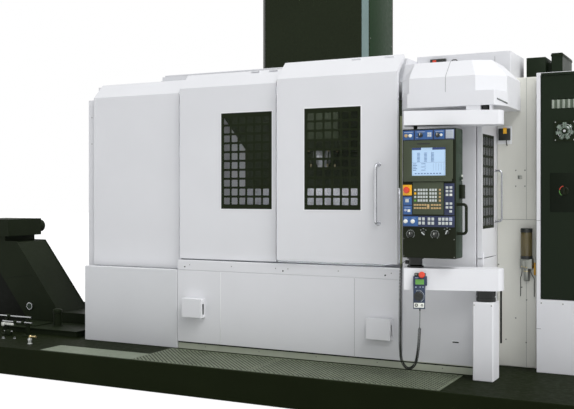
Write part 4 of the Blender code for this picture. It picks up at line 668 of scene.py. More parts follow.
# reach is how far a tube's centre line stands out from the face; axis is X for +X or Y for -Y
for name, node, body, axis, reach, radius, bend, paint in PULLS:
    low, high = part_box(node)
    wide = radius * FOOT_SHARE
    if axis == "Y":
        place, out = ((low.x + high.x) / 2, high.y), (0, -reach, 0)
    else:
        place, out = (low.x, (low.y + high.y) / 2), (reach, 0, 0)
    start, end = (*place, low.z + wide), (*place, high.z - wide)
    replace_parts(hose(name, bow(start, end, out, bend), radius, paint, body, resolution=6), node)
    foot = [(0, 0), (wide, 0), (wide, 0.003), ((wide + radius) / 2, 0.006), (radius, 0.006)]
    lathed(name + "_feet", [(foot, spot, axis, 24) for spot in (start, end)], paint, body)


# Operator pendant. Places on its face are right of the left edge and down from the top.

FACE_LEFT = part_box("pendant_housing")[0].x
FACE_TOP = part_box("lower_arm")[1].z + 1.1495                # the housing's top, under its swivel pin
FACE_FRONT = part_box("display_unit")[1].y + CLEAR
UNIT_FRONT = FACE_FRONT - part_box("display_unit")[0].y       # how far the screen and key units stand out
KEYBOARD_SKIN = 0.008
STRIP = (CLEAR, 0.003)                                      # from and to how far out each layer reaches
STRIP_KEY = (0.0035, 0.0075)
PLATE = (0.0035, 0.0065)
PLATE_KEY = (0.0065, 0.0105)
DIALS, DIAL_SWITCHES = ((0.072, 0.868), (0.28, 0.868)), ((0.182, 0.85), (0.384, 0.84))


def on_face(x, y, out=0.0):
    """A point on the pendant's face, or that far in front of it."""
    return FACE_LEFT + x, FACE_FRONT - out, FACE_TOP - y


def face_group(name, rectangles, layer, paint, edge=0.001, slot=None):
    """Blocks on the pendant's face: rectangles are (left, upper, right, lower)."""
    low, high = layer
    blocks(name, [(on_face(left, lower, high), on_face(right, upper, low))
        for left, upper, right, lower in rectangles], paint, "pendant", slot, edge)


def keys(name, spots, size, layer, paint, slot=None):
    """Like keys about their centres."""
    wide, tall = size[0] / 2, size[1] / 2
    face_group(name, [(x - wide, y - tall, x + wide, y + tall) for x, y in spots], layer, paint, 0.0012,
        slot)


def face_knobs(name, spots, radius, height, paint, grip=0.75, seat=PLATE[1]):
    """Round knobs or lamps that stand on the face."""
    slim = radius * grip
    profile = [(0, 0), (radius, 0), (radius, height * 0.3), (slim, height * 0.45), (slim, height * 0.9),
        (slim * 0.8, height), (0, height)]
    lathed(name, [(profile, on_face(x, y, seat), "Y", 24) for x, y in spots], paint, "pendant")


def square(across, down):
    """Every place in these columns and rows, column by column."""
    return [(x, y) for x in across for y in down]


def steps(start, pitch, count):
    """Evenly spaced places."""
    return [start + pitch * index for index in range(count)]


def pendant():
    face_group("pendant_top_strip", [(0.006, 0.008, 0.446, 0.094)], STRIP, NAVY)
    face_group("pendant_blue_plates", [(0.01, 0.014, 0.1, 0.088), (0.112, 0.014, 0.262, 0.088),
        (0.276, 0.014, 0.362, 0.088), (0.01, 0.56, 0.084, 0.626), (0.01, 0.634, 0.084, 0.704),
        (0.01, 0.722, 0.138, 0.8)], PLATE, BLUE)
    face_group("pendant_lower_strip", [(0.006, 0.716, 0.446, 0.806), (0.36, 0.45, 0.444, 0.708),
        (0.006, 0.552, 0.088, 0.71)], STRIP, NAVY)
    keys("speaker_plate", [(0.406, 0.05)], (0.068, 0.072), (0.0035, 0.006), KEY_LILAC)
    keys("speaker_pads", square(steps(0.382, 0.012, 5), steps(0.026, 0.012, 5)), (0.008, 0.008),
        (0.006, 0.0075), KEY)
    keys("drive_pad", [(0.236, 0.05)], (0.036, 0.04), (0.0065, 0.009), KEY_LILAC)
    keys("drive_pad_keys", square(steps(0.227, 0.018, 2), steps(0.041, 0.018, 2)), (0.013, 0.013),
        (0.009, 0.011), KEY)
    face_group("pendant_marks", [(0.018, 0.024, 0.092, 0.029), (0.128, 0.023, 0.196, 0.028),
        (0.286, 0.023, 0.352, 0.028), (0.122, 0.07, 0.14, 0.074), (0.022, 0.57, 0.072, 0.573),
        (0.022, 0.644, 0.072, 0.647), (0.018, 0.734, 0.052, 0.737), (0.084, 0.734, 0.118, 0.737)],
        (0.0066, 0.007), KEY_LILAC, edge=0.0)
    face_knobs("power_off_button", [(0.037, 0.055)], 0.014, 0.014, KEY_TAN, 0.95)
    face_knobs("power_on_button", [(0.073, 0.055)], 0.014, 0.014, KEY_WHITE, 0.95)
    face_knobs("mode_knobs", [(0.16, 0.052), (0.306, 0.054)], 0.02, 0.022, KEY_BLACK)
    keys("mode_pointers", [(0.16, 0.046), (0.306, 0.048)], (0.004, 0.02), (0.0265, 0.03), KEY_WHITE)
    face_knobs("edit_lamp", [(0.336, 0.055)], 0.011, 0.012, KEY_WHITE, 0.9)

    screen()
    key_unit()

    face_knobs("feed_knobs", [(0.032, 0.762), (0.094, 0.762)], 0.017, 0.02, KEY_WHITE, 0.85)
    keys("axis_keys", square((0.152, 0.184, 0.232, 0.264, 0.322, 0.352, 0.382), (0.741, 0.775))
        + [(0.414, 0.775)], (0.022, 0.024), STRIP_KEY, KEY)
    keys("axis_key_lilac", [(0.414, 0.741)], (0.026, 0.028), STRIP_KEY, KEY_LILAC)
    keys("function_keys", [(0.384, 0.484), (0.416, 0.484), (0.384, 0.513), (0.416, 0.513), (0.384, 0.543),
        (0.384, 0.614), (0.416, 0.614), (0.384, 0.645), (0.416, 0.645), (0.414, 0.677)], (0.022, 0.019),
        STRIP_KEY, KEY)
    keys("function_key_lit", [(0.416, 0.543)], (0.022, 0.019), STRIP_KEY, KEY_WHITE)
    keys("cycle_key", [(0.044, 0.592)], (0.03, 0.026), PLATE_KEY, KEY)
    keys("hold_key", [(0.06, 0.674)], (0.024, 0.022), PLATE_KEY, KEY_WHITE)
    face_knobs("hold_lamp", [(0.03, 0.67)], 0.011, 0.01, KEY_LILAC, 0.9)

    dials()
    pendant_sides()


def screen():
    """Bezel with a sunk screen, soft keys under it and a plain layout of lines on it."""
    front, glass = UNIT_FRONT + CLEAR, UNIT_FRONT - 0.0015
    outline = rounded((FACE_LEFT + 0.221, FACE_TOP - 0.268), (0.412, 0.33), 0.006)
    hole = rounded((FACE_LEFT + 0.231, FACE_TOP - 0.271), (0.288, 0.232), 0.004)
    plate("screen_bezel", [outline, hole], FACE_FRONT - front - 0.002, 0.004, BEZEL, "pendant", edge=0.001)
    face_group("screen_glass", [(0.0875, 0.1555, 0.3745, 0.3865)], (glass - 0.0021, glass), SCREEN,
        edge=0.0)
    lit = (glass, glass + 0.0004)
    face_group("screen_title", [(0.088, 0.156, 0.166, 0.175), (0.262, 0.156, 0.374, 0.175)], lit,
        SCREEN_DARK, edge=0.0)
    rows = [(x - 0.018, y, x + 0.006, y + 0.0055) for x, y in square(steps(0.15, 0.06, 3),
        steps(0.198, 0.011, 7))]
    for row, y in enumerate(steps(0.286, 0.013, 5)):
        rows.append((0.096, y, 0.124 + 0.008 * (row % 2), y + 0.005))
        rows.append((0.168 + 0.03 * (row % 2), y, 0.204, y + 0.0045))
    rows += [(x, 0.285, x + 0.0012, 0.345) for x in steps(0.27, 0.022, 5)]
    rows += [(0.092, 0.2765, 0.37, 0.278), (0.255, 0.19, 0.2565, 0.272)]
    rows += [(x, 0.364, x + 0.016, 0.372) for x in steps(0.112, 0.026, 9)]
    face_group("screen_lines", rows, lit, SCREEN_MID, edge=0.0)
    keys("soft_keys", square(steps(0.11, 0.0305, 9), (0.4065,)), (0.02, 0.012),
        (front + 0.004, front + 0.006), BEZEL)
    keys("screen_sill", [(0.19, 0.124)], (0.11, 0.012), (front + 0.004, front + 0.005), KEY_BLACK)


def key_unit():
    """Keyboard under the screen."""
    face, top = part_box("key_panel")
    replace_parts(blocks("keyboard", [((face.x, top.y - KEYBOARD_SKIN, face.z), tuple(top))], BEZEL,
        "pendant", edge=0.0015), "key_panel")
    layer = (KEYBOARD_SKIN, KEYBOARD_SKIN + 0.0024)
    rows, cap = (0.503, 0.532, 0.5605, 0.59), (0.017, 0.017)
    keys("letter_keys", square((0.145, 0.1675, 0.19, 0.2125, 0.245, 0.2675, 0.29), rows), (0.0175, 0.019),
        layer, KEY)
    keys("left_keys", [(0.115, rows[0]), (0.115, rows[2])], cap, layer, KEY)
    keys("left_keys_tan", [(0.115, rows[1])], cap, layer, YELLOW, "key_grey")
    # The green key glows with the LCD_GLOW's material: a painted glow
    keys("left_keys_green", [(0.115, rows[3])], cap, layer, LCD_GLOW, "key_grey")
    keys("right_keys", square((0.325,), rows), cap, layer, KEY_TAN)
    keys("menu_keys", square(steps(0.112, 0.0225, 5) + steps(0.258, 0.0225, 4), (0.626, 0.652)),
        (0.0185, 0.014), layer, KEY_TAN)
    keys("arrow_key", [(0.226, 0.639)], (0.02, 0.038), layer, KEY_TAN)


def dials():
    """Two override dials with their tick rings and two selector switches."""
    shape = bmesh.new()
    for x, y in DIALS:
        marks(shape, on_face(x, y, 0.0015), 0.034, swept(-140, 280, 17), (0.0026, 0.001, 0.007))
    for x, y in DIAL_SWITCHES:
        marks(shape, on_face(x, y, 0.0015), 0.028, swept(-50, 100, 3), (0.01, 0.001, 0.003), lean=False)
    piece("dial_ticks", shape, KEY, "pendant")
    face_knobs("override_dials", DIALS, 0.024, 0.026, KEY_BLACK, seat=CLEAR)
    face_knobs("selector_switches", [(0.182, 0.856), (0.384, 0.846)], 0.018, 0.02, KEY_BLACK, seat=CLEAR)
    keys("dial_pointers", [(0.072, 0.86), (0.28, 0.86)], (0.004, 0.018), (0.0262, 0.0285), KEY_WHITE)
    shape = bmesh.new()
    for x, y, lean in ((0.186, 0.86, -50), (0.384, 0.846, 25)):
        bar(shape, (0.007, 0.006, 0.034), Matrix.Translation(on_face(x, y, 0.023))
            @ Matrix.Rotation(radians(lean), 4, "Y"))
    piece("selector_levers", shape, KEY, "pendant")
    screws("pendant_screws", [on_face(x, y) for x, y in square((0.012, 0.442), (0.905, 1.05))], 0.0045, "Y",
        -1, "pendant")


def pendant_sides():
    """Grey side wall with its seam, a connector and a socket box; the back has a cover."""
    low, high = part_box("pendant_housing")
    side, back = high.x, high.y
    blocks("pendant_side_panel", [((side + CLEAR, FACE_FRONT + 0.008, FACE_TOP - bottom),
        (side + 0.0018, back - 0.008, FACE_TOP - top)) for bottom, top in ((1.056, 0.206), (0.202, 0.008))],
        PENDANT_SIDE, "pendant", edge=0.0006)
    shape = bmesh.new()
    block(shape, (side + 0.002, -0.29, 1.765), (side + 0.03, -0.205, 1.88), 0.004)
    for z in (1.78, 1.864):
        disc(shape, (side + 0.031, -0.248, z), 0.006, 0.004, "X", sides=12)
    piece("pendant_socket_box", shape, PENDANT, "pendant")
    port = [(0, 0), (0.017, 0), (0.017, 0.008), (0.012, 0.01), (0.012, 0.02), (0.008, 0.022), (0, 0.022)]
    lathed("pendant_port", [(port, (side + 0.002, -0.262, 1.932), "X", 24)], PENDANT_SIDE, "pendant")
    blocks("pendant_port_covers", [((side + 0.002, -0.228, z - 0.01), (side + 0.01, -0.206, z + 0.01))
        for z in (1.925, 1.952)], KEY_WHITE, "pendant", edge=0.002)
    slats = [((left, back + 0.003, z - 0.035), (left + 0.01, back + 0.007, z + 0.035))
        for z in (FACE_TOP - 0.3, FACE_TOP - 0.86) for left in steps(low.x + 0.1, 0.022, 12)]
    blocks("pendant_back_cover", [((low.x + 0.03, back + CLEAR, FACE_TOP - 1.02),
        (high.x - 0.03, back + 0.003, FACE_TOP - 0.05))] + slats, PENDANT_SIDE, "pendant", edge=0.001)
    screws("pendant_back_screws", [(x, back + 0.003, FACE_TOP - y)
        for x, y in square((low.x + 0.045, high.x - 0.045), (0.07, 0.53, 1.0))], 0.005, "Y", 1, "pendant")


def stop_button():
    low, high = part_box("stop_button")
    back, seat = high.y, high.y - 0.006
    x, z = low.x + 0.041, (low.z + high.z) / 2
    shape = bmesh.new()
    block(shape, (low.x, seat, low.z), (high.x, back, high.z), 0.0015)
    turned(shape, [(0.03, 0), (0.03, 0.003), (0.027, 0.005), (0.022, 0.005)], (x, seat, z), "Y", 32)
    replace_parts(piece("stop_plate", shape, YELLOW, "pendant"), "stop_button")
    reach = back - low.y
    mushroom = [(0, 0.005), (0.015, 0.005), (0.015, reach - 0.02), (0.026, reach - 0.018),
        (0.0275, reach - 0.011), (0.024, reach - 0.004), (0.014, reach - 0.0005), (0, reach)]
    lathed("stop_mushroom", [(mushroom, (x, back, z), "Y", 40)], RED, "pendant")


pendant()
stop_button()


# Small pieces on the enclosure and the deck

LUG, LUG_PITCH, LUG_HEIGHT, LUG_TURN = (0.034, 0.009), 0.046, 0.0016, radians(122)
TREAD_JOINT = 0.274
JOINT_PROUD = 0.0008


def front():
    for side in ("left", "right"):
        centre, size = opening("window_" + side, "XZ")[:2]
        outlines = [rounded(centre, (size[0] + 2 * lip, size[1] + 2 * lip), 0.004)
            for lip in (TRIM_LIP, 0.0)]
        plate("window_trim_" + side, outlines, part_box("door_" + side)[0].y - TRIM_SHEET / 2 - CLEAR,
            TRIM_SHEET, TRIM, "door_" + side)
    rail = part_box("door_rail")[0].y
    shape = bmesh.new()
    # Black discs for the rail's holes: painted shade in them
    for x in (-0.828, 0.266, 1.284):
        disc(shape, (x, rail - 0.0008, 1.084), 0.0075, 0.0009, "Y", sides=16)
    piece("rail_holes", shape, GAP_SHADE)
    screws("rail_screws", [(x, rail, 1.105) for x in (-0.77, -0.293, 0.188, 0.319, 0.831, 1.34)], 0.005,
        "Y", -1)
    panel = wall_of("lower_centre_panel", "Y", -1)
    # A raised bead at the panel joint in the brighter trim white: a real edge with a painted highlight
    wall_blocks("centre_panel_bead_highlight", panel, [((-0.4185, -0.4115), (0.346, 1.046))], 0.003, TRIM, edge=0.001)
    wall_blocks("centre_panel_seam", panel, [((0.989, 0.991), (0.346, 1.046))], JOINT_PROUD, JOINT)
    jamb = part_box("right_front_panel")
    blocks("door_seal", [((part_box("door_right")[1].x + 0.0035, jamb[0].y, 1.155),
        (jamb[0].x - CLEAR, jamb[1].y, 2.49))], SEAL, edge=0.002)
    screws("post_screws", [(-2.104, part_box("left_corner_post")[0].y, z) for z in (2.62, 2.339)], 0.006, "Y",
        -1)
    right = wall_of("right_front_panel", "Y", -1)
    # Black strip for the catch's slot: painted shade
    wall_blocks("catch_slot", right, [((1.886, 1.94), (0.53, 0.54))], 0.0012, GAP_SHADE)
    wall_blocks("catch_lip", right, [((1.88, 1.948), (0.541, 0.548))], 0.008, TRIM, edge=0.001)
    low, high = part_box("pedestal")
    screws("pedestal_screws", [(x, low.y, 0.893) for x in (low.x + 0.014, high.x - 0.014)], 0.006, "Y", -1)


def deck():
    """Raised lugs on the tread plate in dark paint as painted shade, joints and screws."""
    low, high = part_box("tread_plate")
    shape = bmesh.new()
    margin = LUG[0] / 2 + 0.004
    columns = int((high.x - low.x - 2 * margin) / LUG_PITCH)
    rows = int((high.y - low.y - 2 * margin) / (LUG_PITCH / 2))
    for column in range(columns + 1):
        for row in range(rows + 1):
            x = low.x + margin + LUG_PITCH * (column + 0.5 * (row % 2))
            y = low.y + margin + LUG_PITCH / 2 * row
            if x > high.x - margin or abs(x - TREAD_JOINT) < margin:
                continue
            place = Matrix.Translation((x, y, high.z + CLEAR + LUG_HEIGHT / 2)) @ Matrix.Rotation(LUG_TURN,
                4, "Z")
            for vert in bar(shape, (*LUG, LUG_HEIGHT), place):
                if vert.co.z > high.z + LUG_HEIGHT / 2:
                    vert.co.x += (x - vert.co.x) * 0.25
                    vert.co.y += (y - vert.co.y) * 0.25
    # The lugs are painted dark: painted shade along them
    piece("tread_lugs_shaded", shape, DARK, slot="tread_steel")
    blocks("tread_joint", [((TREAD_JOINT - 0.002, low.y + 0.002, high.z + CLEAR),
        (TREAD_JOINT + 0.002, high.y - 0.002, high.z + 0.001))], GAP_SHADE)
    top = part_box("service_plate")[1].z
    spots = ((-1.555, -0.459), (-1.248, -0.472), (-1.95, -0.45), (-1.95, -0.67), (-1.25, -0.67))
    screws("service_screws", [(x, y, top) for x, y in spots], 0.01, "Z", 1)
    low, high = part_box("kick_strip")
    # Dark band along the kick strip's top: painted shade under the panels' overhang
    wall_blocks("kick_line", ("Y", low.y, -1), [((low.x, high.x), (high.z - 0.012, high.z - 0.002))], 0.001,
        GAP_SHADE)
    screws("kick_screws", [(x, low.y, 0.305) for x in (-0.6, 0.0, 0.6, 1.2, 1.8)], 0.006, "Y", -1)


front()
deck()


# Handwheel unit on the arm: x runs along the arm, y from the unit's middle to the back

ARM_AXIS, ARM_TURN = (2.211, -0.11), radians(17.5)
UNIT_OFFSET = (-0.53, -0.1328)
UNIT_PLACE = Matrix.Translation((*ARM_AXIS, 0)) @ Matrix.Rotation(ARM_TURN, 4,
    "Z") @ Matrix.Translation((*UNIT_OFFSET, 0))
UNIT_FACE = -0.0225
UNIT_WALL = ("Y", UNIT_FACE, -1)
WHEEL = (-0.019, 0.966)


def unit_blocks(name, corners, paint, edge=0.0, slot=None):
    return blocks(name, corners, paint, "arm", slot, edge, UNIT_PLACE)


def unit_marks(name, rectangles, out, paint, edge=0.0, slot=None):
    unit_blocks(name, [on_wall(UNIT_WALL, across, up, out) for across, up in rectangles], paint, edge, slot)


def unit_lathed(name, parts, paint):
    lathed(name, parts, paint, "arm", matrix=UNIT_PLACE)


def handwheel():
    case = unit_blocks("unit_case", [((-0.062, UNIT_FACE, 1.0523), (0.051, -UNIT_FACE, 1.127)),
        ((-0.062, UNIT_FACE, 0.861), (0.035, -UNIT_FACE, 1.052))], UNIT_NAVY, 0.004)
    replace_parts(case, "handwheel_unit")
    unit_blocks("unit_head", [((-0.052, -0.0145, 1.1273), (0.04, 0.0145, 1.154))], KEY_BLACK, 0.003)
    unit_marks("unit_lcd_frame", [((-0.052, 0.034), (1.056, 1.112))], 0.0015, NAVY, 0.0005, "key_blue")
    unit_marks("unit_lcd", [((-0.044, 0.026), (1.062, 1.104))], 0.0025, LCD_GLOW, slot="key_blue")
    unit_marks("unit_marks", [((-0.046, -0.02), (1.114, 1.119)), ((-0.046, -0.034), (1.036, 1.044)),
        ((-0.01, 0.0), (1.038, 1.045)), ((0.012, 0.024), (1.038, 1.045))], 0.001, KEY_LILAC)
    unit_marks("unit_label", [((-0.056, 0.027), (0.871, 0.911))], 0.001, KEY_WHITE, 0.0004)
    wheel = [(0, 0), (0.037, 0), (0.037, 0.004), (0.035, 0.006), (0.035, 0.014), (0.032, 0.0175),
        (0.012, 0.0175), (0.01, 0.014), (0, 0.014)]
    crank = [(0, 0.012), (0.007, 0.012), (0.008, 0.022), (0.006, 0.025), (0, 0.0255)]
    parts = [(wheel, (WHEEL[0], UNIT_FACE, WHEEL[1]), "Y", 40),
        (crank, (WHEEL[0] - 0.016, UNIT_FACE, WHEEL[1] + 0.014), "Y", 16)]
    for x, z, radius in ((-0.036, 0.892, 0.013), (0.01, 0.892, 0.009)):
        hub = radius * 0.55
        parts.append(([(hub, 0.001), (radius, 0.001), (radius, 0.003), (hub, 0.003), (hub, 0.001)],
            (x, UNIT_FACE, z), "Y", 20))
    unit_lathed("unit_wheel", parts, KEY_BLACK)
    shape = bmesh.new()
    marks(shape, (WHEEL[0], UNIT_FACE - 0.0008, WHEEL[1]), 0.046, swept(-20, 170, 14),
        (0.003, 0.001, 0.008))
    piece("unit_ticks", shape, KEY, "arm", matrix=UNIT_PLACE)
    stop = [(0, 0.006), (0.013, 0.006), (0.013, 0.03), (0.025, 0.032), (0.026, 0.04), (0.02, 0.047),
        (0, 0.048)]
    unit_lathed("unit_stop", [(stop, (0.008, 0, 1.143), "Y", 32)], RED)
    knob = [(0, 0.014), (0.01, 0.014), (0.009, 0.026), (0.006, 0.03), (0, 0.03)]
    unit_lathed("unit_knob", [(knob, (-0.037, 0, 1.144), "Y", 20)], SCREW)
    gland = [(0.003, -0.02), (0.0045, -0.02), (0.0065, -0.002), (0.0065, 0), (0.003, 0)]
    unit_lathed("unit_gland", [(gland, (-0.0075, 0.0045, 0.8607), "Z", 20)], RUBBER)


handwheel()


# Beige wall: interlock switch, lubricator, lock, seams and screws

def beige_wall():
    wall = "Y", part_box("interlock_switch")[1].y, -1
    face = wall[1]
    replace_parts(wall_blocks("interlock_plate", wall, [((2.147, 2.273), (2.248, 2.408))], 0.003, TRIM,
        edge=0.0008), "interlock_switch")
    wall_blocks("interlock_body", off(wall, 0.003), [((2.158, 2.262), (2.281, 2.387))], 0.025, KEY_BLACK,
        edge=0.004)
    wall_blocks("interlock_key", off(wall, 0.028), [((2.202, 2.234), (2.339, 2.392))], 0.006, YELLOW,
        edge=0.002)
    line = [(2.227, face - 0.015, 2.281), (2.227, face - 0.016, 2.262), (2.229, face - 0.012, 2.242),
        (2.23, face - 0.001, 2.236)]
    hose("interlock_cable", smooth_line(line, 20), 0.004, RUBBER)
    wall_blocks("lock_plate", wall, [((2.325, 2.363), (1.936, 1.968))], 0.004, SCREW, slot="dark_steel",
        edge=0.001)
    spots = ((2.306, 2.013), (2.306, 1.873), (2.387, 2.013), (2.387, 1.873), (2.154, 1.174), (2.359, 0.979),
        (2.401, 0.869), (2.306, 0.704), (2.22, 0.509), (2.398, 0.493))
    screws("beige_wall_screws", [(x, face, z) for x, z in spots], 0.0065, "Y", -1)
    wall_blocks("beige_wall_seams", wall, [((2.142, 2.486), (1.576, 1.579)), ((2.399, 2.401), (1.58, 2.83)),
        ((2.399, 2.401), (0.275, 1.035))], JOINT_PROUD, JOINT, slot="beige_paint")
    # Black strip for the gap beside the pedestal: a painted shadow
    wall_blocks("wall_gap", wall, [((2.168, 2.184), (0.47, 1.092))], 0.0012, GAP_SHADE)
    wall_blocks("wall_latch", wall, [((2.158, 2.194), (1.094, 1.113))], 0.01, KEY_BLACK, edge=0.002)
    wall_blocks("sight_strip", wall, [((2.467, 2.482), (1.091, 1.2))], 0.012, YELLOW, edge=0.002)


def lubricator():
    low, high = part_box("lubricator")
    x, back = (low.x + high.x) / 2, high.y
    middle, pump = (x, (low.y + high.y) / 2, 0), (x, back - 0.045, 0)
    jar = [(0, 1.262), (0.048, 1.262), (0.05, 1.266), (0.05, 1.462), (0.047, 1.468), (0, 1.468)]
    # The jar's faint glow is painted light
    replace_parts(lathed("lubricator_jar", [(jar, middle, "Z", 40)], AMBER_GLOW), "lubricator")
    cap = [(0, 1.468), (0.052, 1.468), (0.052, 1.496), (0.049, 1.503), (0, 1.503)]
    lathed("lubricator_caps", [(cap, middle, "Z", 40), (drum(0.052, 1.236, 1.262), middle, "Z", 40)],
        KEY_BLACK)
    shape = bmesh.new()
    block(shape, (low.x, back - 0.085, 1.15), (high.x, back, 1.236), 0.004)
    block(shape, (low.x + 0.012, back - 0.092, 1.165), (low.x + 0.045, back - 0.085, 1.22), 0.002)
    turned(shape, [(0, 1.042), (0.022, 1.042), (0.026, 1.048), (0.026, 1.15), (0, 1.15)], pump)
    piece("lubricator_pump", shape, SCREW, slot="dark_steel")
    shape = bmesh.new()
    for drop in (0.01, 0.03, 0.05):
        disc(shape, (low.x + 0.01 + drop, back - 0.088, 1.172 - drop * 0.2), 0.005, 0.01, "Y", sides=12)
    disc(shape, (x, back - 0.045, 1.128), 0.028, 0.006)
    piece("lubricator_fittings", shape, BRASS)
    for name, start, end in (("lubricator_hose_1", low.x + 0.014, low.x - 0.01),
            ("lubricator_hose_2", high.x - 0.014, high.x + 0.004)):
        line = [(start, back - 0.06, 1.152), (start, back - 0.058, 1.12),
            ((start + end) / 2, back - 0.03, 1.085), (end, back - 0.008, 1.06), (end, back - 0.004, 1.0),
            (end, back - 0.004, 0.9)]
        hose(name, smooth_line(line, 30), 0.003, RUBBER)


beige_wall()
lubricator()


# Electrical cabinet and the duct beside it

VENT_HEIGHTS = (2.533, 2.606)
CABINET_POST = ("Y", 0.38, -1)           # the white frame's front beside the door
COVER_HEIGHTS = (0.36, 2.74)              # of the cover sheets on its side and back
SHEET_PROUD = 0.003                       # how far cover sheets stand out


def cabinet():
    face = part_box("cabinet_fan")[1].y + CLEAR
    wall, door = ("Y", face, -1), "cabinet_door"
    # Dark sheet behind the bars: painted shade of the vent opening
    wall_blocks("cabinet_vent_shade", wall, [((2.65, 2.89), VENT_HEIGHTS)], 0.001, VENT_SHADE, door,
        edge=0.0003)
    wall_blocks("cabinet_vent_bars", wall, [((x - 0.01, x + 0.01), VENT_HEIGHTS)
        for x in steps(2.66, 0.044, 6)], 0.004, VENT, door, edge=0.001)
    wall_blocks("cabinet_inset", wall, [((2.634, 2.9), (1.65, 1.983))], 0.0015, CABINET_INSET, door,
        edge=0.0005)
    low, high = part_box("cabinet_fan")
    x, z = (low.x + high.x) / 2, (low.z + high.z) / 2
    screws("fan_screws", [(x + across, low.y + 0.01, z + up)
        for across, up in square((-0.076, 0.076), (-0.076, 0.076))], 0.005, "Y", -1, door, STEEL)
    # Dark disc behind the blades: painted shade of the fan's opening
    lathed("fan_opening_shade", [([(0, 0.0008), (0.06, 0.0008), (0.06, 0), (0, 0)], (x, face - CLEAR, z), "Y",
        32)], VENT_SHADE, door)
    shape = bmesh.new()
    for index in range(7):
        place = Matrix.Translation((x, face - 0.004, z)) @ Matrix.Rotation(2 * pi * index / 7, 4, "Y")
        bar(shape, (0.03, 0.0012, 0.048), place @ Matrix.Translation((0, 0, 0.05))
            @ Matrix.Rotation(radians(12), 4, "Z"))
    piece("fan_blades", shape, FAN, door)
    shape = bmesh.new()
    disc(shape, (x, low.y - 0.0006, z), 0.011, 0.001, "Y", edge=0.0003)
    for radius in (0.04, 0.06):
        ring = [(radius - 0.0015, 0), (radius, 0.0015), (radius + 0.0015, 0), (radius, -0.0015),
            (radius - 0.0015, 0)]
        turned(shape, ring, (x, face - 0.008, z), "Y", 40)
    piece("fan_guard_rings", shape, STEEL, door)
    low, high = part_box("cabinet_switch")
    # The green arc glows with the LCD_GLOW's material: a painted glow
    for name, paint, start in (("switch_arc_red", RED, 290), ("switch_arc_green", LCD_GLOW, 220)):
        shape = bmesh.new()
        marks(shape, ((low.x + high.x) / 2, face - 0.0025, (low.z + high.z) / 2), 0.043,
            swept(start, 50, 6), (0.0085, 0.001, 0.006))
        piece(name, shape, paint, door)
    side, back = wall_of("cabinet", "X", 1), wall_of("cabinet", "Y", 1)
    low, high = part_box(door)
    wall_blocks("cabinet_lintel", CABINET_POST, [((low.x, side[1] - 0.002),
        (high.z + 0.0015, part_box("cabinet")[1].z - 0.004))], 0.0035, CABINET_DARK, edge=0.0008)
    wall_blocks("cabinet_post_seams", CABINET_POST, [((2.521, 2.559), (z, z + 0.003))
        for z in (1.574, 0.646)], JOINT_PROUD, JOINT)
    screws("cabinet_front_screws", [(x, CABINET_POST[1], 0.869) for x in steps(2.562, 0.18, 3)], 0.006, "Y",
        -1)
    wall_blocks("cabinet_side_panels", side, [((0.46, 1.26), COVER_HEIGHTS), ((1.32, 2.12), COVER_HEIGHTS)],
        SHEET_PROUD, WHITE_SHADED, edge=0.001)
    for index, (left, bottom) in enumerate(square((0.56, 1.42), (0.5, 2.38))):
        louvres("cabinet_louvres_%d" % (index + 1), off(side, SHEET_PROUD), left, 0.6, bottom, 0.028, 9,
            WHITE_SHADED)
    wall_blocks("cabinet_back_panel", back, [((2.57, 2.94), COVER_HEIGHTS)], SHEET_PROUD, WHITE_SHADED,
        edge=0.001)
    louvres("cabinet_back_louvres", off(back, SHEET_PROUD), 2.62, 0.27, 2.3, 0.028, 10, WHITE_SHADED)
    low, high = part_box("duct")
    blocks("duct_box", [((2.304, 0.995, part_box("rear_housing")[1].z + CLEAR), (2.479, 1.505, 3.07))],
        CABINET_DARK, edge=0.004)
    blocks("duct_link", [((2.4795, 1.06, 2.88), (low.x - CLEAR, 1.44, 3.02))], CABINET_DARK, edge=0.003)
    shape = bmesh.new()
    for z in (2.86, 3.07):
        block(shape, (low.x - 0.004, low.y - 0.004, z), (high.x + 0.004, high.y + 0.004, z + 0.018), 0.001)
    disc(shape, (low.x - 0.006, low.y + 0.06, 2.99), 0.022, 0.012, "X", edge=0.002)
    piece("duct_bands", shape, DARK, slot="cabinet_paint")


cabinet()


# Column cover, hood, magazine cover, roof and the sides and back of the housing

LID_PROUD = 0.0025                        # of the column cover's sheets
ROOF_BACK = ("Y", 3.1, 1)
HOOD_SEAM = ((-0.1003, 2.655), (-0.1003, 2.797), (0.0475, 2.9453), (0.52, 2.9453))
BACK_SPANS = ((-2.04, -1.08), (-1.02, 0.0), (0.06, 1.08), (1.14, 2.04))


def column_cover():
    low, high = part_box("column_cover")
    heights = (low.z + 0.02, high.z - 0.02)
    # The side panels take the lighter copy of the cover's paint as painted light
    for name, sign in (("tower_right_panel", 1), ("tower_left_panel", -1)):
        wall_blocks(name, wall_of("column_cover", "X", sign), [((low.y + 0.075, high.y - 0.03), heights)],
            LID_PROUD, TOWER_SIDE_LIT, edge=0.001)
    # The right chamfer strip is pale as a painted reflection; the left one keeps the cover's own paint
    for name, x, turn, paint in (("tower_edge_right_reflection", high.x - 0.03, pi / 4, TOWER_EDGE_REFLECTION),
            ("tower_edge_left", low.x + 0.03, -pi / 4, TOWER)):
        shape = bmesh.new()
        place = Matrix.Translation((x, low.y + 0.03, sum(heights) / 2)) @ Matrix.Rotation(turn, 4, "Z")
        bar(shape, (0.078, 0.002, heights[1] - heights[0]), place @ Matrix.Translation((0, -0.0015, 0)))
        piece(name, shape, paint)
    back = wall_of("column_cover", "Y", 1)
    wall_blocks("tower_back_panel", back, [((low.x + 0.05, high.x - 0.05), heights)], LID_PROUD, TOWER,
        edge=0.001)
    louvres("tower_louvres", off(back, LID_PROUD), -0.3, 0.6, 3.8, 0.035, 10, TOWER)
    screws("tower_screws", [(high.x + LID_PROUD, y, z) for y, z in square((low.y + 0.1, high.y - 0.06),
        (3.02, 3.44, 3.86, 4.24))], 0.006, "X", 1)


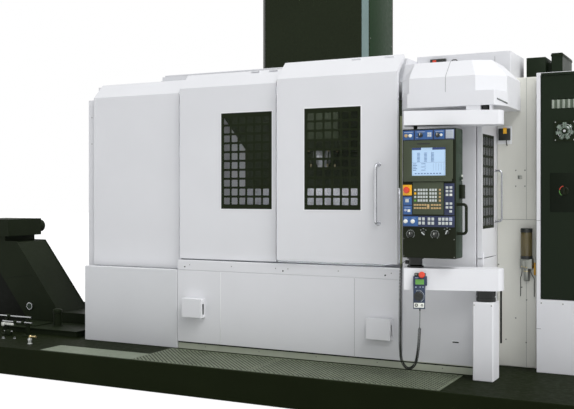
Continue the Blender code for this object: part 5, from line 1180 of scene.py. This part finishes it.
def hood_and_roof():
    seam("hood_seam", [(1.863, y, z) for y, z in HOOD_SEAM])
    hose("hood_catch", [(2.302, -0.105, 2.59), (2.349, 0.046, 2.562)], 0.006, JOINT, resolution=2)
    wall = wall_of("magazine_cover", "Y", -1)
    wall_blocks("magazine_fitting", wall, [((1.5, 1.65), (3.012, 3.058))], 0.03, KEY_BLACK, edge=0.004)
    wall_blocks("magazine_fitting_mark", off(wall, 0.03), [((1.525, 1.56), (3.022, 3.048))], 0.002, RED,
        slot="signal_yellow", edge=0.0005)
    face = wall[1] - 0.004
    hose("magazine_lifting_lug", bow((1.7, face, 3.01), (1.752, face, 3.01), (0, 0, 0.034), 0.016), 0.004,
        KEY_BLACK, resolution=2)
    seam("magazine_seam", [(2.1, wall[1] - CLEAR, z) for z in (2.96, 3.05)])
    wall_blocks("roof_seams", ROOF_BACK, [((-2.1, 2.09), (2.925, 2.93))], 0.001, JOINT)
    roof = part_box("roof")[1].z
    shape = bmesh.new()
    for x, y in square((-1.95, 1.95), (1.35, 2.9)):
        turned(shape, [(0, 0), (0.032, 0), (0.032, 0.01), (0.016, 0.016), (0, 0.016)], (x, y, roof + CLEAR))
        ring = bmesh.ops.create_circle(shape, segments=8, radius=0.008)["verts"]
        bmesh.ops.transform(shape, matrix=Matrix.Translation((x + 0.026, y, roof + 0.04)), verts=ring)
        edges = {line for vert in ring for line in vert.link_edges}
        bmesh.ops.spin(shape, geom=list(ring) + list(edges), cent=(x, y, roof + 0.04), axis=(0, 1, 0),
            angle=2 * pi, steps=24, use_merge=True)
    piece("lifting_eyes", shape, SCREW, slot="dark_steel")
    blocks("roof_ribs", [((x, 0.96, roof + CLEAR), (x + 0.04, 3.06, roof + 0.012))
        for x in (-1.45, -0.9, 0.9, 1.4)], WHITE, edge=0.003)
    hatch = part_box("roof_hatch")[1]
    for name, x in (("hatch_handle_1", -0.9), ("hatch_handle_2", 0.9)):
        ends = [(x + half, hatch.y - 0.08, hatch.z) for half in (-0.09, 0.09)]
        hose(name, bow(*ends, (0, 0, 0.035), 0.014), 0.006, STAINLESS, resolution=2)


def sides_and_back():
    left = wall_of("left_wall", "X", -1)
    outer = off(left, SHEET_PROUD)
    wall_blocks("left_wall_panels", left, [((0.46, 1.22), (1.2, 2.72)), ((1.3, 2.06), (0.4, 2.72)),
        ((2.14, 2.98), (0.4, 2.72))], SHEET_PROUD, WHITE, edge=0.0012)
    louvres("left_wall_louvres", outer, 2.24, 0.6, 2.2, 0.03, 10, WHITE)
    screws("left_wall_screws", [(outer[1], y, z) for y, z in square((0.49, 1.19, 1.33, 2.03, 2.17, 2.95),
        (1.24, 1.96, 2.68))], 0.006, "X", -1)
    back = wall_of("back_wall", "Y", 1)
    outer = off(back, SHEET_PROUD)
    wall_blocks("back_wall_panels", back, [(span, up) for up in ((0.36, 1.52), (1.6, 2.84))
        for span in BACK_SPANS], SHEET_PROUD, WHITE_SHADED, edge=0.0012)
    for name, start in (("back_wall_louvres_1", -1.84), ("back_wall_louvres_2", 1.3)):
        louvres(name, outer, start, 0.56, 2.42, 0.03, 10, WHITE_SHADED)
    across = [x for span in BACK_SPANS for x in (span[0] + 0.03, span[1] - 0.03)]
    screws("back_wall_screws", [(x, outer[1], z) for x, z in square(across, (0.4, 1.48, 1.64, 2.8))], 0.006,
        "Y", 1)
    housing = wall_of("rear_housing", "X", 1)
    wall_blocks("housing_panels", housing, [((0.6, 1.4), COVER_HEIGHTS), ((2.24, 3.04), COVER_HEIGHTS)],
        SHEET_PROUD, BEIGE, edge=0.0012)
    louvres("housing_louvres", off(housing, SHEET_PROUD), 2.36, 0.56, 2.3, 0.03, 10, BEIGE)
    blocks("cable_trunk", [((-1.06, back[1] + 0.0035, 1.525), (1.12, back[1] + 0.048, 1.595))], DARK,
        edge=0.003)


column_cover()
hood_and_roof()
sides_and_back()


# Chip conveyor's gauge, coolant pipes and valve

GAUGE = (-3.35, 0.492)
VALVE = (-2.39, -0.49)
PIPES = (("coolant_pipe_upper", -0.1, 0.472, -3.186, -2.737, 0.009),
    ("coolant_pipe_lower", -0.1, 0.413, -3.141, -2.723, 0.009),
    ("coolant_pipe_short", -0.16, 0.316, -3.06, -2.94, 0.008))
PIPE_NUTS = ((-3.05, 0.472, 0.02), (-2.96, 0.413, 0.02), (-2.85, 0.413, 0.018))
DECK_STUDS = ((-3.1, -0.24, 0.012), (-2.9, -0.34, 0.014), (-3.0, -0.4, 0.01), (-2.78, -0.3, 0.01))


def conveyor():
    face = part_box("conveyor_body")[0].y
    rim = [(0.034, 0.001), (0.034, 0.02), (0.042, 0.02), (0.042, 0.001), (0.034, 0.001)]
    lathed("gauge_rim", [([(0, 0.001)] + rim, (GAUGE[0], face - CLEAR, GAUGE[1]), "Y", 32)], STEEL)
    shape = bmesh.new()
    disc(shape, (GAUGE[0], face - 0.0215, GAUGE[1]), 0.034, 0.001, "Y", sides=32)
    piece("gauge_glass", shape, PENDANT_SIDE)
    seam("conveyor_seam", [(-3.7, face - CLEAR, 0.812), (-3.29, face - CLEAR, 0.852)], GAP_SHADE, "dark_steel")
    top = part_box("platform")[1].z + CLEAR
    # Black sheet under the conveyor's incline: painted shade where the structure beneath lies in shadow
    outline = [(-3.385, top), (-3.385, 0.309), (-3.914, 0.962), (-4.015, 0.962), (-4.015, top)]
    plate("conveyor_shade_sheet", [outline], face + 0.03, 0.006, GAP_SHADE, "machine", slot="dark_steel")
    for name, y, z, left, right, radius in PIPES:
        hose(name, [(left, y, z), (right, y, z)], radius, STEEL, resolution=3)
    shape = bmesh.new()
    for x in (-3.1, -2.8):
        block(shape, (x - 0.022, -0.094, top), (x + 0.022, -0.07, 0.486), 0.002)
        block(shape, (x - 0.04, -0.13, top), (x + 0.04, -0.05, top + 0.01), 0.002)
    for x, z, radius in PIPE_NUTS:
        disc(shape, (x, -0.1, z), radius, 0.03, "X", sides=8)
    block(shape, (-3.03, -0.19, top), (-2.97, -0.13, 0.33), 0.003)
    piece("coolant_pipe_stand", shape, DARK)
    blocks("coolant_level_bar", [((-3.141, -0.122, 0.374), (-2.974, -0.105, 0.398)),
        ((-3.141, -0.126, 0.362), (-3.11, -0.104, 0.4))], KEY_WHITE, edge=0.002)
    studs = []
    for x, y, radius in DECK_STUDS:
        wide = radius * 1.6
        studs.append(([(0, 0), (wide, 0), (wide, 0.005), (radius, 0.007), (radius, 0.02), (0, 0.022)],
            (x, y, top), "Z", 6))
    lathed("deck_studs", studs, STEEL)
    x, y = VALVE
    valve = [(0, 0), (0.026, 0), (0.026, 0.008), (0.018, 0.012), (0.018, 0.03), (0.022, 0.034),
        (0.022, 0.052), (0.014, 0.058), (0.014, 0.066), (0, 0.066)]
    lathed("valve_body", [(valve, (x, y, top), "Z", 24)], ALUMINIUM)
    shape = bmesh.new()
    grip = [(0, -0.03), (0.012, -0.03), (0.013, -0.018), (0.009, -0.014), (0.009, 0.03), (0.013, 0.034),
        (0.013, 0.052), (0, 0.052)]
    turned(shape, grip, (x + 0.03, y, top + 0.079), "X", 8)
    block(shape, (x - 0.008, y - 0.006, top + 0.066), (x + 0.008, y + 0.006, top + 0.076), 0.001)
    piece("valve_lever", shape, BRASS)


conveyor()


# Inside the enclosure

LAMP_DEPTH, LAMP_HEIGHTS = (0.4, 0.46), (2.806, 2.8295)
NOZZLE_BEND = ((0.165, 0.0), (0.168, 0.05), (0.16, 0.1), (0.14, 0.15))     # out from the spindle, and down


def inside():
    low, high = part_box("table")
    # The T-slots are black strips: painted shade in them
    blocks("table_slots", [((low.x + 0.004, y - 0.009, high.z + CLEAR),
        (high.x - 0.004, y + 0.009, high.z + 0.0009)) for y in steps(0.42, 0.2, 5)], GAP_SHADE, slot="cast_iron")
    low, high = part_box("spindle_nose")
    x, y, z = (low.x + high.x) / 2, (low.y + high.y) / 2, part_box("spindle_head")[0].z
    tips = []
    for index in range(4):
        turn = pi / 4 + pi / 2 * index
        spots = [(x + reach * cos(turn), y + reach * sin(turn), z - drop) for reach, drop in NOZZLE_BEND]
        hose("coolant_nozzle_%d" % (index + 1), smooth_line(spots, 14), 0.008, DARK, resolution=3)
        tips.append(([(0, -0.03), (0.004, -0.03), (0.01, 0), (0, 0)], spots[-1], "Z", 12))
        tips.append((drum(0.013, -0.014, 0), spots[0], "Z", 8))
    lathed("nozzle_fittings", tips, BRASS)
    blocks("interior_lamp", [((-1.2, LAMP_DEPTH[0], LAMP_HEIGHTS[0]),
        (1.2, LAMP_DEPTH[1], LAMP_HEIGHTS[1]))], LAMP, edge=0.006)
    ends = [((left, LAMP_DEPTH[0] - 0.005, 2.8), (right, LAMP_DEPTH[1] + 0.005, LAMP_HEIGHTS[1]))
        for left, right in ((-1.24, -1.2003), (1.2003, 1.24))]
    blocks("interior_lamp_ends", ends, DARK, edge=0.004)


inside()


# Floor, light and background

FLOOR_HALF, FLOOR_LEVEL = 60.0, -0.002
FLOOR_GLOW = 0.3
WORLD_LIGHT, WORLD_COLOUR = 0.45, (0.97, 0.985, 1.0, 1)
SUN_FROM, SUN_STRENGTH, SUN_ANGLE = (0.5, -0.2, 0.75), 2.2, radians(35)
LAMPS = (("softbox", (8.8, -2.1, 5.2), (0.3, 1.3, 3.4), (2.0, 3.5), 40.0),
    ("fill", (4.5, -5.5, 5.5), (1.9, 0.0, 2.4), (2.0, 2.0), 75.0),
    ("work_light", (0.0, 0.4, 2.8), (0.0, 2.6, 1.2), (3.2, 0.15), 60.0))


def seen_share(tree):
    """One for rays of the camera and for those that gloss and glass send on, else nought."""
    path = tree.nodes.new("ShaderNodeLightPath")
    share = path.outputs["Is Camera Ray"]
    for ray in ("Is Glossy Ray", "Is Transmission Ray"):
        either = tree.nodes.new("ShaderNodeMath")
        either.operation = "MAXIMUM"
        tree.links.new(share, either.inputs[0])
        tree.links.new(path.outputs[ray], either.inputs[1])
        share = either.outputs[0]
    return share


def floor():
    """A pale floor that takes the shadow, and glows only for the rays of seen_share."""
    shape = bmesh.new()
    shape.faces.new([shape.verts.new((x * FLOOR_HALF, y * FLOOR_HALF, FLOOR_LEVEL))
        for x, y in ((-1, -1), (1, -1), (1, 1), (-1, 1))])
    mesh = bpy.data.meshes.new("floor")
    shape.to_mesh(mesh)
    shape.free()
    obj = bpy.data.objects.new("floor", mesh)
    bpy.context.scene.collection.objects.link(obj)
    n = Nodes("floor_paint")
    n.link(n.mix(n.noise(0.8, 4.0), (0.86, 0.86, 0.86), (0.83, 0.83, 0.83)), n.shader.inputs["Base Color"])
    n.set(Roughness=0.9, Specular_IOR_Level=0.0, Emission_Color=(1, 1, 1, 1))
    glow = n.add("ShaderNodeMath", operation="MULTIPLY")
    glow.inputs[1].default_value = FLOOR_GLOW
    n.link(seen_share(n.tree), glow.inputs[0])
    n.link(glow.outputs[0], n.shader.inputs["Emission Strength"])
    mesh.materials.append(n.material)


def background():
    """White where it is seen, a plain pale light for all else."""
    world = bpy.data.worlds.new("studio")
    bpy.context.scene.world = world
    world.use_nodes = True
    tree = world.node_tree
    tree.nodes.clear()
    mix = tree.nodes.new("ShaderNodeMixShader")
    tree.links.new(seen_share(tree), mix.inputs[0])
    for index, (colour, strength) in enumerate(((WORLD_COLOUR, WORLD_LIGHT), ((1, 1, 1, 1), 1.0))):
        light = tree.nodes.new("ShaderNodeBackground")
        light.inputs["Color"].default_value = colour
        light.inputs["Strength"].default_value = strength
        tree.links.new(light.outputs[0], mix.inputs[index + 1])
    tree.links.new(mix.outputs[0], tree.nodes.new("ShaderNodeOutputWorld").inputs[0])


def lamp(name, kind, power, turn, place=(0, 0, 0)):
    data = bpy.data.lights.new(name, kind)
    data.energy = power
    obj = bpy.data.objects.new(name, data)
    obj.location = place
    obj.rotation_euler = turn.to_euler()
    bpy.context.scene.collection.objects.link(obj)
    return data


floor()
background()
lamp("key", "SUN", SUN_STRENGTH, Vector(SUN_FROM).to_track_quat("Z", "Y")).angle = SUN_ANGLE
for name, place, aim, size, power in LAMPS:
    area = lamp(name, "AREA", power, (Vector(aim) - Vector(place)).to_track_quat("-Z", "Y"), place)
    area.shape = "RECTANGLE"
    area.size, area.size_y = size
bpy.context.scene.view_settings.view_transform = "Standard"
